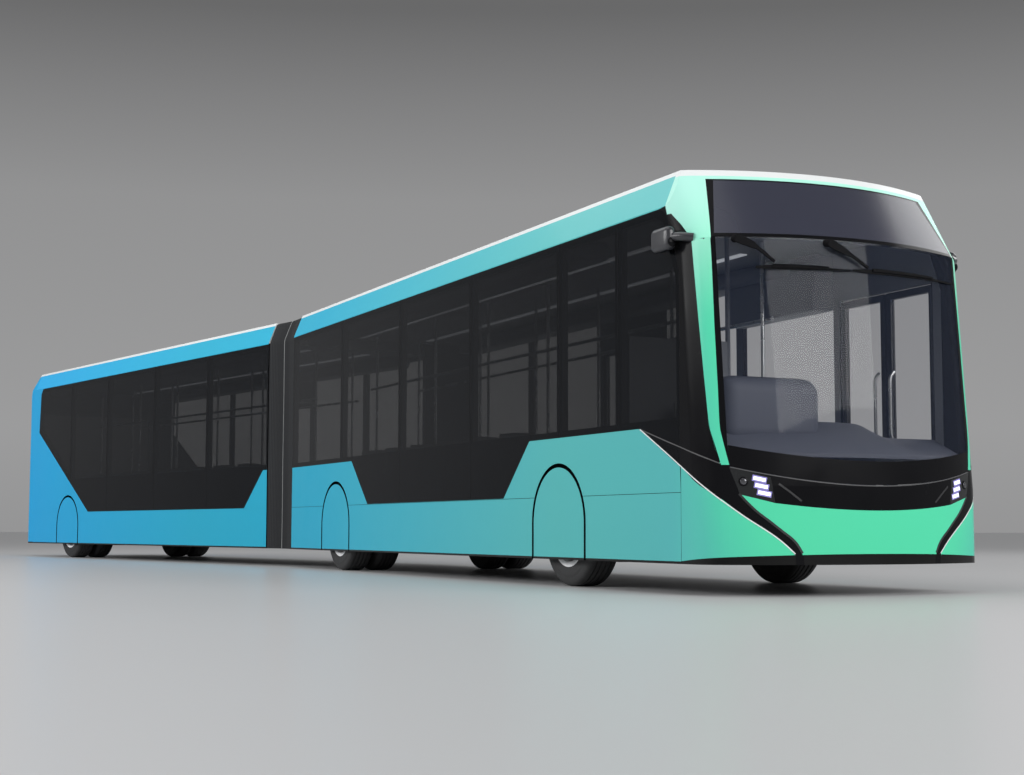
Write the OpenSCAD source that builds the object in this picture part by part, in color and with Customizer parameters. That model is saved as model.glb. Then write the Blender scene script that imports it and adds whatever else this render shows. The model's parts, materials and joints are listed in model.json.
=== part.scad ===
// Articulated electric bus: two cars joined at a turntable, with the rear car turned a little to its right.
// Each car is drawn in its own frame: x runs forward from the turntable's axis, y to the left, z up from the road.

/* [Body] */
// Width of both cars
body_w = 2500; // [2450:10:2550]
// Height of the skirt's lower edge above the road
skirt_z = 226; // [200:2:250]
// Height of the seam along the skirt
belt_z = 753; // [730:1:780]
// Height of the lower edge of the side glass
sill_z = 1248; // [1200:4:1300]
// Height of the upper edge of the walls
header_z = 2915; // [2860:5:2960]
// Height of the roof's edge
roof_z = 3190; // [3160:5:3230]
// Width that the cove takes off each side of the roof
cove_w = 110; // [80:5:150]
// Thickness of the walls
wall_t = 60; // [50:2:70]
// Height of the floor's upper face
floor_z = 360; // [350:2:380]
// Thickness of the floor
floor_t = 60; // [50:2:64]
// Height of the roof's deck between the coves
deck_z = 3000; // [2970:5:3030]
// Thickness of the glass and of the black panels below it
glass_t = 8; // [6:1:10]
// Gap between neighbouring panes
pane_gap = 8; // [4:1:14]
// Thickness of the wall that is left round a wheel arch
skin_t = 18; // [14:1:20]

/* [Lengths from the turntable] */
// Half the length of the bellows
bellows_half = 545; // [535:5:600]
// Mid axle, ahead of the turntable
mid_axle_x = 2240; // [2200:10:2300]
// Front axle, ahead of the turntable
front_axle_x = 8040; // [7990:10:8060]
// Tip of the nose, ahead of the turntable
nose_x = 10720; // [10690:10:10760]
// Seam between the walls and the front mask
mask_seam_x = 10050; // [10040:5:10070]
// Seam between the roof and the front mask
roof_seam_x = 9850; // [9835:5:9855]
// Rear axle, behind the turntable
rear_axle_x = 7780; // [7740:10:7820]
// Tail, behind the turntable
tail_x = 9800; // [9780:10:9900]
// Angle by which the rear car is turned at rest
bend = 10.56; // [4:0.01:14]

/* [Front and rear ends] */
// Radius of the front's bow, seen from above
bow_r = 2420; // [2300:20:2600]
// Radius of the front corners, seen from above
corner_r = 280; // [260:5:300]
// Height at which the front begins to lean back
waist_z = 790; // [780:2:796]
// Height of the windscreen's lower corners
screen_z = 930; // [926:2:940]
// Height of the edge between windscreen and destination glass
brow_z = 2620; // [2580:5:2660]
// Height at which the wall's front seam begins to slope back
seam_slope_z = 2400; // [2350:10:2450]
// Backward lean of the windscreen
screen_lean = 5.1; // [3:0.1:7]
// Backward lean of the destination glass
brow_lean = 33; // [28:1:34]
// Thickness of the front and rear masks
mask_t = 50; // [40:2:60]
// Width of the front pillars, seen from the front
pillar_w = 160; // [156:2:190]
// Drop of the windscreen's lower edge at the middle
screen_drop = 130; // [100:5:150]
// Radius of the rear corners, seen from above
tail_r = 150; // [130:5:180]
// Height at which the rear end begins to lean forward
tail_brow_z = 2570; // [2500:10:2620]
// Length of that lean, up to the roof
tail_brow_x = 300; // [250:10:350]

/* [Wheels] */
// Radius of a tyre
tyre_r = 479; // [470:1:482]
// Width of one tyre
tyre_w = 275; // [260:5:285]
// Radius of the rims
rim_r = 286; // [280:1:290]
// Width over a pair of twin tyres
twin_w = 610; // [590:5:620]
// Distance of the front tyres' outer face inside the walls
front_inset = 93; // [88:1:98]
// Distance of the twin tyres' outer face inside the walls
twin_inset = 60; // [55:1:70]
// Width of a wheel arch
arch_w = 1010; // [1000:2:1020]
// Height of a wheel arch's crown
arch_z = 1034; // [1026:2:1040]
// Gap between a wheel cover and its arch
cover_gap = 35; // [33:1:40]
// Thickness of the wheel covers
cover_t = 25; // [20:1:28]
// Distance of each kingpin inside the walls
kingpin_inset = 320; // [314:2:330]
// Radius of the kingpins
kingpin_r = 28; // [24:1:30]
// Radius of the hub spindles
spindle_r = 45; // [40:1:50]
// Clearance of a pin in its bore
pin_gap = 0.5; // [0.3:0.1:1]

/* [Doors] */
// Width of a doorway
door_w = 1250; // [1200:10:1260]
// Height of a doorway's upper edge
door_top = 2480; // [2400:10:2550]
// Thickness of a door leaf
leaf_t = 40; // [36:1:42]
// Gap round a leaf
leaf_gap = 8; // [6:1:10]
// Gap between the two leaves of a doorway
meeting_gap = 20; // [16:1:30]
// Distance of a leaf's hinge from the jamb
hinge_x = 30; // [28:1:34]
// Width of a leaf's frame
leaf_frame = 60; // [50:5:80]
// Width of the post between the front doorway and the mask
door_post = 100; // [95:5:105]
// Rear edges of the front car's doorways
front_doors = [4300, mask_seam_x - door_post - door_w];
// Rear edge of the rear car's doorway
rear_doors = [-5100];

/* [Turntable] */
// Radius of the round floor plate
plate_r = 535; // [520:5:540]
// Radius of the ring bearing
ring_r = 400; // [360:10:440]
// Radius of the turntable's centre pin
pivot_r = 60; // [50:2:70]

/* [Hidden] */
half_w = body_w / 2;
inner_y = half_w - wall_t;
floor_low = floor_z - floor_t;
skin_y = half_w - skin_t;
far = 14000;
head_half = half_w - cove_w;
screen_hw = half_w - pillar_w;
seam = 0.3;

// Arches and covers are straight-sided with round crowns
arch_r = arch_w / 2;
arch_mid_z = arch_z - arch_r;
cover_r = arch_r - cover_gap;

// Wheel places and boxes
front_wheel_y = half_w - front_inset - tyre_w / 2;
twin_wheel_y = half_w - twin_inset - twin_w / 2;
kingpin_y = half_w - kingpin_inset;
steer_box_x = 620;
steer_box_y = half_w - 740;
twin_box_x = 530;
twin_box_y = half_w - 705;
box_z = 1060;
box_t = 20;

// Centre of the front corners: the corner circle touches the bow and the wall
corner_y = half_w - corner_r;
function corner_x(lean) = nose_at(lean) - bow_at(lean) + sqrt(pow(bow_at(lean) - corner_r, 2) - pow(corner_y, 2));
function bow_at(lean) = bow_r / cos(lean);
function nose_at(lean) = lean_x + (nose_x - lean_x) * cos(lean);
lean_x = nose_x - 513;
brow_back = (brow_z - waist_z) * tan(screen_lean);

// The origin is below the middle of the bent bus: the tail's corners and the nose set its box
function turned(x, y) = [x * cos(bend) - y * sin(bend), x * sin(bend) + y * cos(bend)];
tail_corner_left = turned(-tail_x + tail_r, half_w - tail_r)[0] - tail_r;
tail_corner_right = turned(-tail_x + tail_r, -half_w + tail_r)[1] - tail_r;
pod_y = half_w + 120;
origin_x = (nose_x + tail_corner_left) / 2;
origin_y = (pod_y + tail_corner_right) / 2;

// Frames of the two cars
module front_car() translate([-origin_x, -origin_y, 0]) children();
module rear_car() translate([-origin_x, -origin_y, 0]) rotate([0, 0, bend]) children();

// Extrusions of an outline: a cross section (y, z) along the car, or a side outline (x, z) across it
module along(x0, x1) translate([x0, 0, 0]) rotate([90, 0, 90]) linear_extrude(x1 - x0) children();
module across(y0, y1) translate([0, y1, 0]) rotate([90, 0, 0]) linear_extrude(y1 - y0) children();
module box(low, high) translate(low) cube(high - low);
module both_sides() {
    children();
    mirror([0, 1, 0]) children();
}

// Cross section of the body, with its coves, drawn in by t and open below
module section(t, low = skirt_z)
    polygon([[-half_w + t, low], [half_w - t, low], [half_w - t, header_z], [head_half - t, roof_z - t],
             [-head_half + t, roof_z - t], [-half_w + t, header_z]]);

// Front of the body seen from above: a bow between two round corners, drawn in by t
module nose_plan(t, lean) {
    bow_x = nose_at(lean) - bow_at(lean);
    cx = corner_x(lean);
    reach = 2 * bow_at(lean);
    intersection() {
        translate([bow_x, 0]) circle(bow_at(lean) - t, $fn = 360);
        translate([bow_x, 0]) polygon([[0, 0], [reach * (cx - bow_x) / corner_y, -reach],
                                       [reach * (cx - bow_x) / corner_y, reach]]);
    }
    for (side = [-1, 1]) translate([cx, side * corner_y]) circle(corner_r - t, $fn = 120);
    translate([0, -half_w + t]) square([cx, body_w - 2 * t]);
}

// A tall prism on the front's plan, leaning back from a line at height z0, drawn in by t
module prism(z0, lean, back, t)
    translate([lean_x - back, 0, z0]) rotate([0, -lean, 0]) translate([-lean_x, 0, -far / 2])
        linear_extrude(far) nose_plan(t, lean);
module nose_prism(t) prism(waist_z, 0, 0, t);
module screen_prism(t, z = waist_z) prism(z, screen_lean, 0, t);
module brow_prism(t) prism(brow_z, brow_lean, brow_back, t);

// The whole front as a solid where the three prisms and the body's section meet, drawn in by t
// The lining's waist lies above the sweep, so that the lower corners have an upright back
lining_waist_z = 960;
module front_form(t, low = skirt_z, waist = waist_z)
    intersection() {
        along(bellows_half, far) section(t, low);
        nose_prism(t);
        screen_prism(t, waist);
        brow_prism(t);
    }
module front_shell(t_out, t_in)
    difference() {
        front_form(t_out, skirt_z);
        front_form(t_in, skirt_z - 100, lining_waist_z);
    }

// Windscreen and destination openings seen from the front (y, z)
screen_arc = (pow(screen_hw, 2) + pow(screen_drop, 2)) / (2 * screen_drop);
module screen_outline() {
    translate([-screen_hw, screen_z]) square([2 * screen_hw, brow_z - screen_z]);
    intersection() {
        translate([0, screen_z - screen_drop + screen_arc]) circle(screen_arc, $fn = 360);
        translate([-screen_hw, screen_z - screen_drop]) square([2 * screen_hw, screen_drop]);
    }
}
brow_gap = 30;
sign_top_z = 3100;
sign_top_hw = head_half - 190;
module sign_outline()
    polygon([[-screen_hw, brow_z + brow_gap], [screen_hw, brow_z + brow_gap],
             [sign_top_hw, sign_top_z], [-sign_top_hw, sign_top_z]]);
// Points seen from the front: distance inside the walls and height
function inset_points(list) = [for (p = list) [half_w - p[0], p[1]]];
// Corners of a headlamp: lower inner, lower outer, upper outer, upper inner
lamp = inset_points([[460, 667], [224, 728], [162, 924], [434, 853]]);
module lamp_outline()
    for (side = [0, 1]) mirror([side, 0]) polygon(lamp);

// Side outlines (x, z)
module arch_outline(x, r) {
    translate([x, arch_mid_z]) circle(r, $fn = 64);
    translate([x - r, 0]) square([2 * r, arch_mid_z]);
}
module front_wall_outline()
    polygon([[bellows_half, skirt_z], [mask_seam_x, skirt_z], [mask_seam_x, seam_slope_z], [roof_seam_x, header_z],
             [bellows_half, header_z]]);
module rear_wall_outline()
    translate([-tail_x + tail_seam, skirt_z]) square([tail_x - tail_seam - bellows_half, header_z - skirt_z]);
slant_x = 540;
glass_top = header_z - 10;
front_panel = [3330, 6940];
band_apex_x = 9430;
band_nose_z = 938;
band_front_x = mask_seam_x - pane_gap;
band_slope = (mask_seam_x - roof_seam_x) / (header_z - seam_slope_z);
band_crown = [9760, 2850];
module front_band()
    polygon([[bellows_half, glass_top], [bellows_half, sill_z], [front_panel[0] - slant_x, sill_z],
             [front_panel[0], belt_z], [front_panel[1], belt_z], [front_panel[1] + slant_x, sill_z],
             [band_apex_x, sill_z], [band_front_x, band_nose_z], [band_front_x, seam_slope_z],
             [band_front_x - (band_crown[1] - seam_slope_z) * band_slope, band_crown[1]], [band_crown[0], glass_top]]);
rear_panel = [-6870, -1200];
tail_glass_x = -9170;
tail_glass_z = 2144;
module rear_band()
    polygon([[-bellows_half, glass_top], [-bellows_half, sill_z], [rear_panel[1] + slant_x, sill_z],
             [rear_panel[1], belt_z], [rear_panel[0], belt_z], [tail_glass_x - 75, tail_glass_z],
             [tail_glass_x - 20, glass_top - 90], [tail_glass_x + 70, glass_top]]);

// Panes: rear end and front end of each along the car
front_right_panes = [[bellows_half, 2420], [2420, 4300], [4300, 6180], [6180, 8060], [8060, 9100],
                     [9100, mask_seam_x]];
front_left_panes = [[bellows_half, 2420], [2420, front_doors[0] - 30], [front_doors[0] + door_w + 30, 7100],
                    [7100, front_doors[1] - 30]];
rear_right_panes = [[-2400, -bellows_half], [-4250, -2400], [-6100, -4250], [-7700, -6100], [-9250, -7700]];
rear_left_panes = [[-2200, -bellows_half], [rear_doors[0] + door_w + 30, -2200], [-6700, rear_doors[0] - 30],
                   [-9250, -6700]];
module pane_outline(pane)
    intersection() {
        children();
        translate([pane[0] + pane_gap / 2, belt_z]) square([pane[1] - pane[0] - pane_gap, header_z - belt_z]);
    }
pane_rim = 55;
module pane_opening(pane)
    intersection() {
        translate([pane_rim, pane_rim]) children();
        translate([-pane_rim, -pane_rim]) children();
        translate([pane[0] + pane_rim, sill_z + pane_rim])
            square([pane[1] - pane[0] - 2 * pane_rim, header_z - sill_z - 2 * pane_rim]);
    }

// One side wall, drawn on the left: slab with recessed panes, openings, arches and doorways
module wall(panes, arches, doors) {
    difference() {
        across(inner_y, half_w) children(0);
        for (pane = panes) {
            across(half_w - glass_t, half_w + 1) pane_outline(pane) children(1);
            across(inner_y - 1, half_w + 1) pane_opening(pane) children(1);
        }
        for (arch = arches) {
            across(inner_y - 1, half_w + 1) arch_outline(arch[0], arch_r);
            box([arch[0] - arch[1], inner_y - 1, 0], [arch[0] + arch[1], skin_y, box_z]);
        }
        for (x = doors) box([x, inner_y - 1, floor_z], [x + door_w, half_w + 1, door_top]);
        box([-far, half_w - groove_d, belt_z - groove_w - 2], [far, half_w + 1, belt_z - 2]);
    }
}
module panes(list)
    for (pane = list) across(half_w - glass_t, half_w) pane_outline(pane) children();

// Wheel boxes on both sides of a floor, and the floor's rails
module wheel_box(x, hx, y)
    difference() {
        box([x - hx - box_t + seam, y - box_t, floor_low], [x + hx + box_t, inner_y, box_z + box_t]);
        box([x - hx, y, 0], [x + hx, half_w, box_z]);
    }
// Floor panels along the car, narrower between two wheel boxes, with a seam between neighbours
module floor_panel(x0, x1, hy) box([x0 + seam, -hy, floor_low], [x1, hy, floor_z]);
module floor_panels(x0, x1, boxes) {
    starts = concat([x0], [for (b = boxes) b[0] + b[1] + box_t]);
    ends = concat([for (b = boxes) b[0] - b[1] - box_t], [x1]);
    for (i = [0:len(starts) - 1]) floor_panel(starts[i], ends[i], inner_y);
    for (b = boxes) floor_panel(b[0] - b[1] - box_t, b[0] + b[1] + box_t, b[2] - box_t - seam);
}
rail_y = half_w - 830;
rail_w = 80;
module rails(list)
    both_sides() for (r = list) box([r[0], rail_y - rail_w / 2, skirt_z], [r[1], rail_y + rail_w / 2, floor_low - seam]);
jack_x = 160;
module jack_pads(list)
    both_sides() for (x = list) box([x - jack_x / 2, rail_y + rail_w / 2 + seam, skirt_z], [x + jack_x / 2, rail_y + 220, floor_low - seam]);

// Towing plates: a level plate with an upright eye, hung below the floor's end on a web
eye_r = 22;
eye_t = 40;
eye_z = skirt_z + 30;
eye_x = 140;
plate_x = 200;
web_x = 60;
module tow_plate(x, dir) translate([x, 0, 0]) mirror([dir < 0 ? 1 : 0, 0, 0])
    difference() {
        union() {
            box([0, -web_x, eye_z - eye_t / 2], [plate_x, web_x, eye_z + eye_t / 2]);
            box([0, -web_x, eye_z], [web_x, web_x, floor_low - seam]);
        }
        translate([eye_x, 0, 0]) cylinder(r = eye_r, h = floor_z, $fn = 48);
    }

front_boxes = [[mid_axle_x, twin_box_x, twin_box_y], [front_axle_x, steer_box_x, steer_box_y]];
rear_boxes = [[-rear_axle_x, twin_box_x, twin_box_y]];
floor_end_x = 9980;
module front_floor() color("dimgray") {
    floor_panels(bellows_half - seam, floor_end_x, front_boxes);
    floor_panel(floor_end_x, floor_end_x + 420, half_w - 400);
    both_sides() for (b = front_boxes) wheel_box(b[0], b[1], b[2]);
    rails([[bellows_half + 20, mid_axle_x - 160], [mid_axle_x + 160, front_axle_x - 160],
           [front_axle_x + 160, floor_end_x]]);
    jack_pads([mid_axle_x + 900, front_axle_x - 900]);
    tow_plate(floor_end_x + 180, 1);
}
module rear_floor() color("dimgray") {
    floor_panels(-tail_x + tail_r, -bellows_half, rear_boxes);
    floor_panel(-tail_x + mask_t - seam, -tail_x + tail_r, half_w - tail_r);
    both_sides() for (b = rear_boxes) wheel_box(b[0], b[1], b[2]);
    rails([[-tail_x + mask_t, -rear_axle_x - 160], [-rear_axle_x + 160, -bellows_half - 20]]);
    jack_pads([-rear_axle_x + 900]);
    tow_plate(-tail_x + mask_t + plate_x + 20, -1);
}

front_arches = [[mid_axle_x, twin_box_x], [front_axle_x, steer_box_x]];
rear_arches = [[-rear_axle_x, twin_box_x]];
module front_right_wall() color("mediumaquamarine") mirror([0, 1, 0])
    wall(front_right_panes, front_arches, []) {
        front_wall_outline();
        front_band();
    }
module front_left_wall() color("mediumaquamarine")
    wall(front_left_panes, front_arches, front_doors) {
        front_wall_outline();
        front_band();
    }
module rear_right_wall() color("deepskyblue") mirror([0, 1, 0])
    wall(rear_right_panes, rear_arches, []) {
        rear_wall_outline();
        rear_band();
    }
module rear_left_wall() color("deepskyblue")
    wall(rear_left_panes, rear_arches, rear_doors) {
        rear_wall_outline();
        rear_band();
    }

module front_side_glass() color("black") {
    panes(front_left_panes) front_band();
    mirror([0, 1, 0]) panes(front_right_panes) front_band();
}
module rear_side_glass() color("black") {
    panes(rear_left_panes) rear_band();
    mirror([0, 1, 0]) panes(rear_right_panes) rear_band();
}

// Roofs: a deck in a well between the coves, closed at both ends
cove_top = 70;
roof_end = 60;
roof_fore_end = 500;
module roof(x0, x1, end0, end1)
    difference() {
        along(x0, x1) section(0, header_z);
        box([x0 + end0, -head_half + cove_top, deck_z], [x1 - end1, head_half - cove_top, far]);
    }
module front_roof() color("white") roof(bellows_half, roof_seam_x, roof_end, roof_fore_end);
module rear_roof() color("white") roof(-tail_x + tail_seam, -bellows_half, roof_fore_end, roof_end);

// Units on the roofs: rear end, front end and distance from the roof's edge of each
unit_top = roof_z - 10;
unit_slope = [60, 40];
module unit_section(hw)
    polygon([[-hw, deck_z], [hw, deck_z], [hw, unit_top - unit_slope[1]], [hw - unit_slope[0], unit_top],
             [-hw + unit_slope[0], unit_top], [-hw, unit_top - unit_slope[1]]]);
module roof_units(list)
    for (u = list) along(u[0], u[1]) unit_section(head_half - u[2]);
module front_roof_units() color("lightgray")
    roof_units([[900, 3500, 220], [3700, 6300, 220], [6600, 8900, 280]]);
module rear_roof_units() color("lightgray")
    roof_units([[-3600, -1000, 220], [-6200, -3800, 280], [-8800, -6400, 220]]);

// Black trim: a frame round windscreen and sign, a band below between the lamps, and a sweep down each corner
trim_w = 28;
sign_trim_w = 50;
band_low_z = 617;
band_arc = (pow(lamp[0][0], 2) + pow(lamp[0][1] - band_low_z, 2)) / (2 * (lamp[0][1] - band_low_z));
turn_y = half_w - 111;
turn_z = [694, 953];
// Sweep below the lamp: its inner edge downwards, then its outer edge upwards
sweep = inset_points([[270, 674], [333, 609], [598, 395], [660, 281], [675, 0], [615, 0], [597, 295], [522, 376], [227, 590]]);
// Edge of the front pillar and of the sweep, seen from the side: distance behind the nose and height
pillar_edge = [[792, 2843], [675, 2744], [557, 2621], [520, 2154], [433, 1559], [376, 1229], [306, 953]];
sweep_edge = [[300, 694], [345, 743], [nose_x - mask_seam_x, 942], [1020, 1118]];
function behind_nose(list) = [for (p = list) [nose_x - p[0], p[1]]];
module face_trim() {
    half = [[lamp[0][0], lamp[0][1]], lamp[1], lamp[2], [screen_hw + trim_w, screen_z + 5], [screen_hw + trim_w, brow_z],
            [sign_top_hw + sign_trim_w, sign_top_z + 12]];
    polygon(concat(half, [for (i = [len(half) - 1:-1:0]) [-half[i][0], half[i][1]]]));
    intersection() {
        translate([0, band_low_z + band_arc]) circle(band_arc, $fn = 360);
        translate([-lamp[0][0], band_low_z - 1]) square([2 * lamp[0][0], lamp[0][1] - band_low_z + 1]);
    }
    for (side = [0, 1]) mirror([side, 0])
        polygon(concat([lamp[2], lamp[1]], sweep, [[turn_y, turn_z[0]], [turn_y, turn_z[1]]]));
}
module corner_trim()
    polygon(concat([[nose_x - 1020, 2850]], behind_nose(pillar_edge), [[nose_x, turn_z[1]], [nose_x, turn_z[0]]],
                   behind_nose(sweep_edge)));
module trim_zone() {
    along(mask_seam_x - 400, far) face_trim();
    both_sides() across(turn_y, half_w + 1) corner_trim();
}
// Grooves between neighbouring panels of the skin
groove_w = 4;
groove_d = 3;
module mask_outline()
    polygon([[mask_seam_x, 0], [mask_seam_x, seam_slope_z], [roof_seam_x, header_z], [roof_seam_x, far], [far, far],
             [far, 0]]);
module front_openings()
    along(mask_seam_x - 400, far) {
        screen_outline();
        sign_outline();
        lamp_outline();
    }
module front_skin()
    intersection() {
        front_shell(0, mask_t);
        across(-far, far) mask_outline();
    }
module front_mask() color("mediumaquamarine")
    difference() {
        front_skin();
        front_openings();
        trim_zone();
        both_sides() box([mask_seam_x - 1, half_w - groove_d, 0], [mask_seam_x + groove_w, half_w + 1, seam_slope_z]);
    }
module front_trim() color("black")
    difference() {
        intersection() {
            front_skin();
            trim_zone();
        }
        front_openings();
    }
module windscreen() color("black")
    intersection() {
        difference() {
            screen_prism(0);
            screen_prism(glass_t);
        }
        along(mask_seam_x + 20, far) screen_outline();
    }
module destination_glass() color("black")
    intersection() {
        difference() {
            brow_prism(0);
            brow_prism(glass_t);
        }
        along(mask_seam_x - 400, far) sign_outline();
    }
module headlamps() color("white")
    intersection() {
        front_shell(0, mask_t);
        along(mask_seam_x + 20, far) lamp_outline();
    }

// Wipers parked along the windscreen's upper edge: y of each blade's middle
wipers_y = [570 - screen_hw, screen_hw - 780];
blade_half = 375;
blade_h = 26;
blade_off = 12;
blade_low = 130;
arm_reach = 380;
arm_turn = 13;
wiper_pivot_r = 24;
screen_r = bow_at(screen_lean);
function screen_sag(y) = screen_r - sqrt(pow(screen_r, 2) - pow(y, 2));
module on_screen(y, drop)
    translate([lean_x, 0, waist_z]) rotate([0, -screen_lean, 0])
        translate([nose_at(screen_lean) - screen_r - lean_x, 0, (brow_z - waist_z) / cos(screen_lean) - drop])
            rotate([0, 0, asin(y / screen_r)]) translate([screen_r, 0, 0]) children();
module wipers() color("black")
    for (y = wipers_y) on_screen(y, blade_low) {
        pivot_x = pin_end - screen_sag(arm_reach - wiper_pivot_r);
        box([blade_off, -blade_half, 0], [blade_off + 22, blade_half, blade_h]);
        translate([0, -arm_reach, arm_reach * tan(arm_turn)]) {
            translate([pivot_x, 0, 0]) rotate([0, 90, 0])
                cylinder(r = wiper_pivot_r, h = blade_off + 30 - pivot_x, $fn = 24);
            rotate([-90 - arm_turn, 0, 0]) translate([blade_off + 12, -15, -20]) cube([16, 30, arm_reach + 40]);
        }
    }

// Camera mirrors: a round pod on a short arm at the top of each front pillar
pod = [9790, 10010];
pod_z = 2645;
pod_r = 52;
pod_arm_r = 20;
module camera_mirrors() color("black")
    both_sides() {
        translate([0, pod_y - pod_r, pod_z]) {
            for (x = [pod[0] + pod_r, pod[1] - pod_r]) translate([x, 0, 0]) sphere(pod_r, $fn = 48);
            translate([pod[0] + pod_r, 0, 0]) rotate([0, 90, 0]) cylinder(r = pod_r, h = pod[1] - pod[0] - 2 * pod_r, $fn = 48);
        }
        translate([(pod[0] + pod[1]) / 2, half_w, pod_z]) rotate([-90, 0, 0])
            cylinder(r = pod_arm_r, h = pod_y - pod_r - half_w, $fn = 32);
    }

// Cab; the dashboard ends a little before the nose's round corners do
dash_x = [9990, corner_x(0) + 122];
module dashboard() color("dimgray") {
    box([dash_x[0], 200 - half_w, 780], [dash_x[1], 300, 1000]);
    box([dash_x[0] + 70, 350 - half_w, floor_z], [dash_x[1] - 70, 150, 780]);
    translate([9990, cab_y, 960]) rotate([0, -62, 0]) translate([0, 0, -10]) cylinder(r = 35, h = 200, $fn = 24);
}
cab_y = 610 - half_w;
wheel_ring_r = 225;
module steering_wheel() color("black")
    translate([9990, cab_y, 960]) rotate([0, -62, 0]) translate([0, 0, 190]) {
        rotate_extrude($fn = 48) translate([wheel_ring_r, 15]) circle(16, $fn = 24);
        cylinder(r = 60, h = 30, $fn = 32);
        for (a = [0, 120, 240]) rotate([0, 0, a]) translate([40, -18, 5]) cube([wheel_ring_r - 45, 36, 18]);
    }
// A seat on the floor, facing forward: cushion, back and pedestal
seat_w = 430;
seat_z = 440;
module seat(x, y, back_h) {
    translate([x, y - seat_w / 2, floor_z]) {
        translate([0, 0, seat_z - 80]) cube([450, seat_w, 80]);
        translate([-70 - seam, 0, seat_z - 80]) cube([70, seat_w, back_h]);
        translate([90, seat_w / 2 - 60, 0]) cube([240, 120, seat_z - 70]);
    }
}
module driver_seat() color("dimgray") seat(9350, cab_y, 760);
module cab_partition() color("gray") {
    box([9150, -inner_y, floor_z], [9180, 940 - inner_y, 2000]);
    translate([9165, 925 - inner_y, floor_z]) cylinder(r = 20, h = header_z - floor_z, $fn = 24);
}

// Seat rows (x of the cushion's rear edge) by the window and by the aisle, right side then left side
seat_y = [inner_y - 225, inner_y - 665];
module seat_rows(right_rows, left_rows)
    for (y = seat_y) {
        for (x = right_rows) seat(x, -y, 640);
        for (x = left_rows) seat(x, y, 640);
    }
module front_seats() color("slategray") seat_rows([3000, 3750, 4500, 5250, 6000, 6750], [3000, 5950, 6700]);
module rear_seats() color("slategray") {
    seat_rows([-1500, -2250, -3000, -3750, -4500, -5250, -6000, -6750, -9400], [-1500, -2250, -3000, -6000, -6750, -9400]);
}
// Handrails: poles from floor to ceiling, and a long rail under the ceiling on each side of the aisle
pole_r = 17;
hand_y = inner_y - 905;
hand_z = 2250;
module handrails(x0, x1, poles)
    both_sides() {
        for (x = poles) translate([x, hand_y, floor_z]) cylinder(r = pole_r, h = header_z - floor_z, $fn = 24);
        translate([x0, hand_y + 2 * pole_r + seam, hand_z]) rotate([0, 90, 0])
            cylinder(r = pole_r, h = x1 - x0, $fn = 24);
    }
module front_handrails() color("silver") handrails(900, 8950, [1000, 2950, 4450, 5900, 7350, 8850]);
module rear_handrails() color("silver") handrails(-8900, -900, [-8800, -7100, -5600, -4100, -2600, -1000]);

// Wheel covers that stay with the body, hung on brackets from the arch's skin
bracket_t = 12;
module cover() across(half_w - cover_t, half_w) intersection() {
    arch_outline(0, cover_r);
    translate([-cover_r, skirt_z]) square([2 * cover_r, 2 * cover_r]);
}
module fixed_cover(x)
    translate([x, 0, 0]) {
        cover();
        for (end = [0, 1], z = [300, 620]) mirror([end, 0, 0]) {
            box([cover_r - 70, half_w - cover_t - bracket_t, z], [arch_r + 20, half_w - cover_t, z + 60]);
            box([arch_r + 6, half_w - cover_t, z], [arch_r + 20, skin_y, z + 60]);
        }
    }
module mid_wheel_covers() color("mediumturquoise") both_sides() fixed_cover(mid_axle_x);
module rear_wheel_covers() color("deepskyblue") both_sides() fixed_cover(-rear_axle_x);
module steer_cover() translate([front_axle_x, 0, 0]) cover();
module left_steer_cover() color("mediumaquamarine") steer_cover();
module right_steer_cover() color("mediumaquamarine") mirror([0, 1, 0]) steer_cover();

// Axles: a low beam under the floor with an upright at each end
beam_z = [200, floor_low];
beam_hx = 70;
upright_y = [half_w - 690, half_w - 560];
fork_t = 26;
fork_hx = 34;
fork_z = [tyre_r - 110, tyre_r + 110];
fork_end_y = kingpin_y + 50;
module front_axle() color("dimgray")
    both_sides() translate([front_axle_x, 0, 0]) difference() {
        union() {
            box([-beam_hx, 0, beam_z[0]], [beam_hx, upright_y[1], beam_z[1]]);
            box([-fork_hx, upright_y[0], beam_z[0]], [fork_hx, kingpin_y - 80, fork_z[1]]);
            for (z = [fork_z[0], fork_z[1] - fork_t])
                box([-fork_hx, kingpin_y - 81, z], [fork_hx, fork_end_y, z + fork_t]);
        }
        translate([0, kingpin_y, 0]) cylinder(r = kingpin_r + pin_gap, h = 1000, $fn = 32);
    }
stub_r = 60;
hub_r = 130;
twin_face_y = twin_wheel_y - twin_w / 2;
hanger_y = [twin_box_y + 6, twin_face_y - 6];
module twin_axle(x)
    both_sides() translate([x, 0, 0]) {
        box([-beam_hx, 0, beam_z[0]], [beam_hx, hanger_y[1], beam_z[1]]);
        box([-beam_hx, hanger_y[0], beam_z[0]], [beam_hx, hanger_y[1], tyre_r + hub_r]);
        translate([0, hanger_y[0], tyre_r]) rotate([-90, 0, 0]) cylinder(r = hub_r, h = 80, $fn = 48);
        translate([0, hanger_y[1], tyre_r]) rotate([-90, 0, 0]) cylinder(r = stub_r, h = twin_w - 120, $fn = 48);
    }
module mid_axle() color("dimgray") twin_axle(mid_axle_x);
module drive_axle() color("dimgray") twin_axle(-rear_axle_x);

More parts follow.
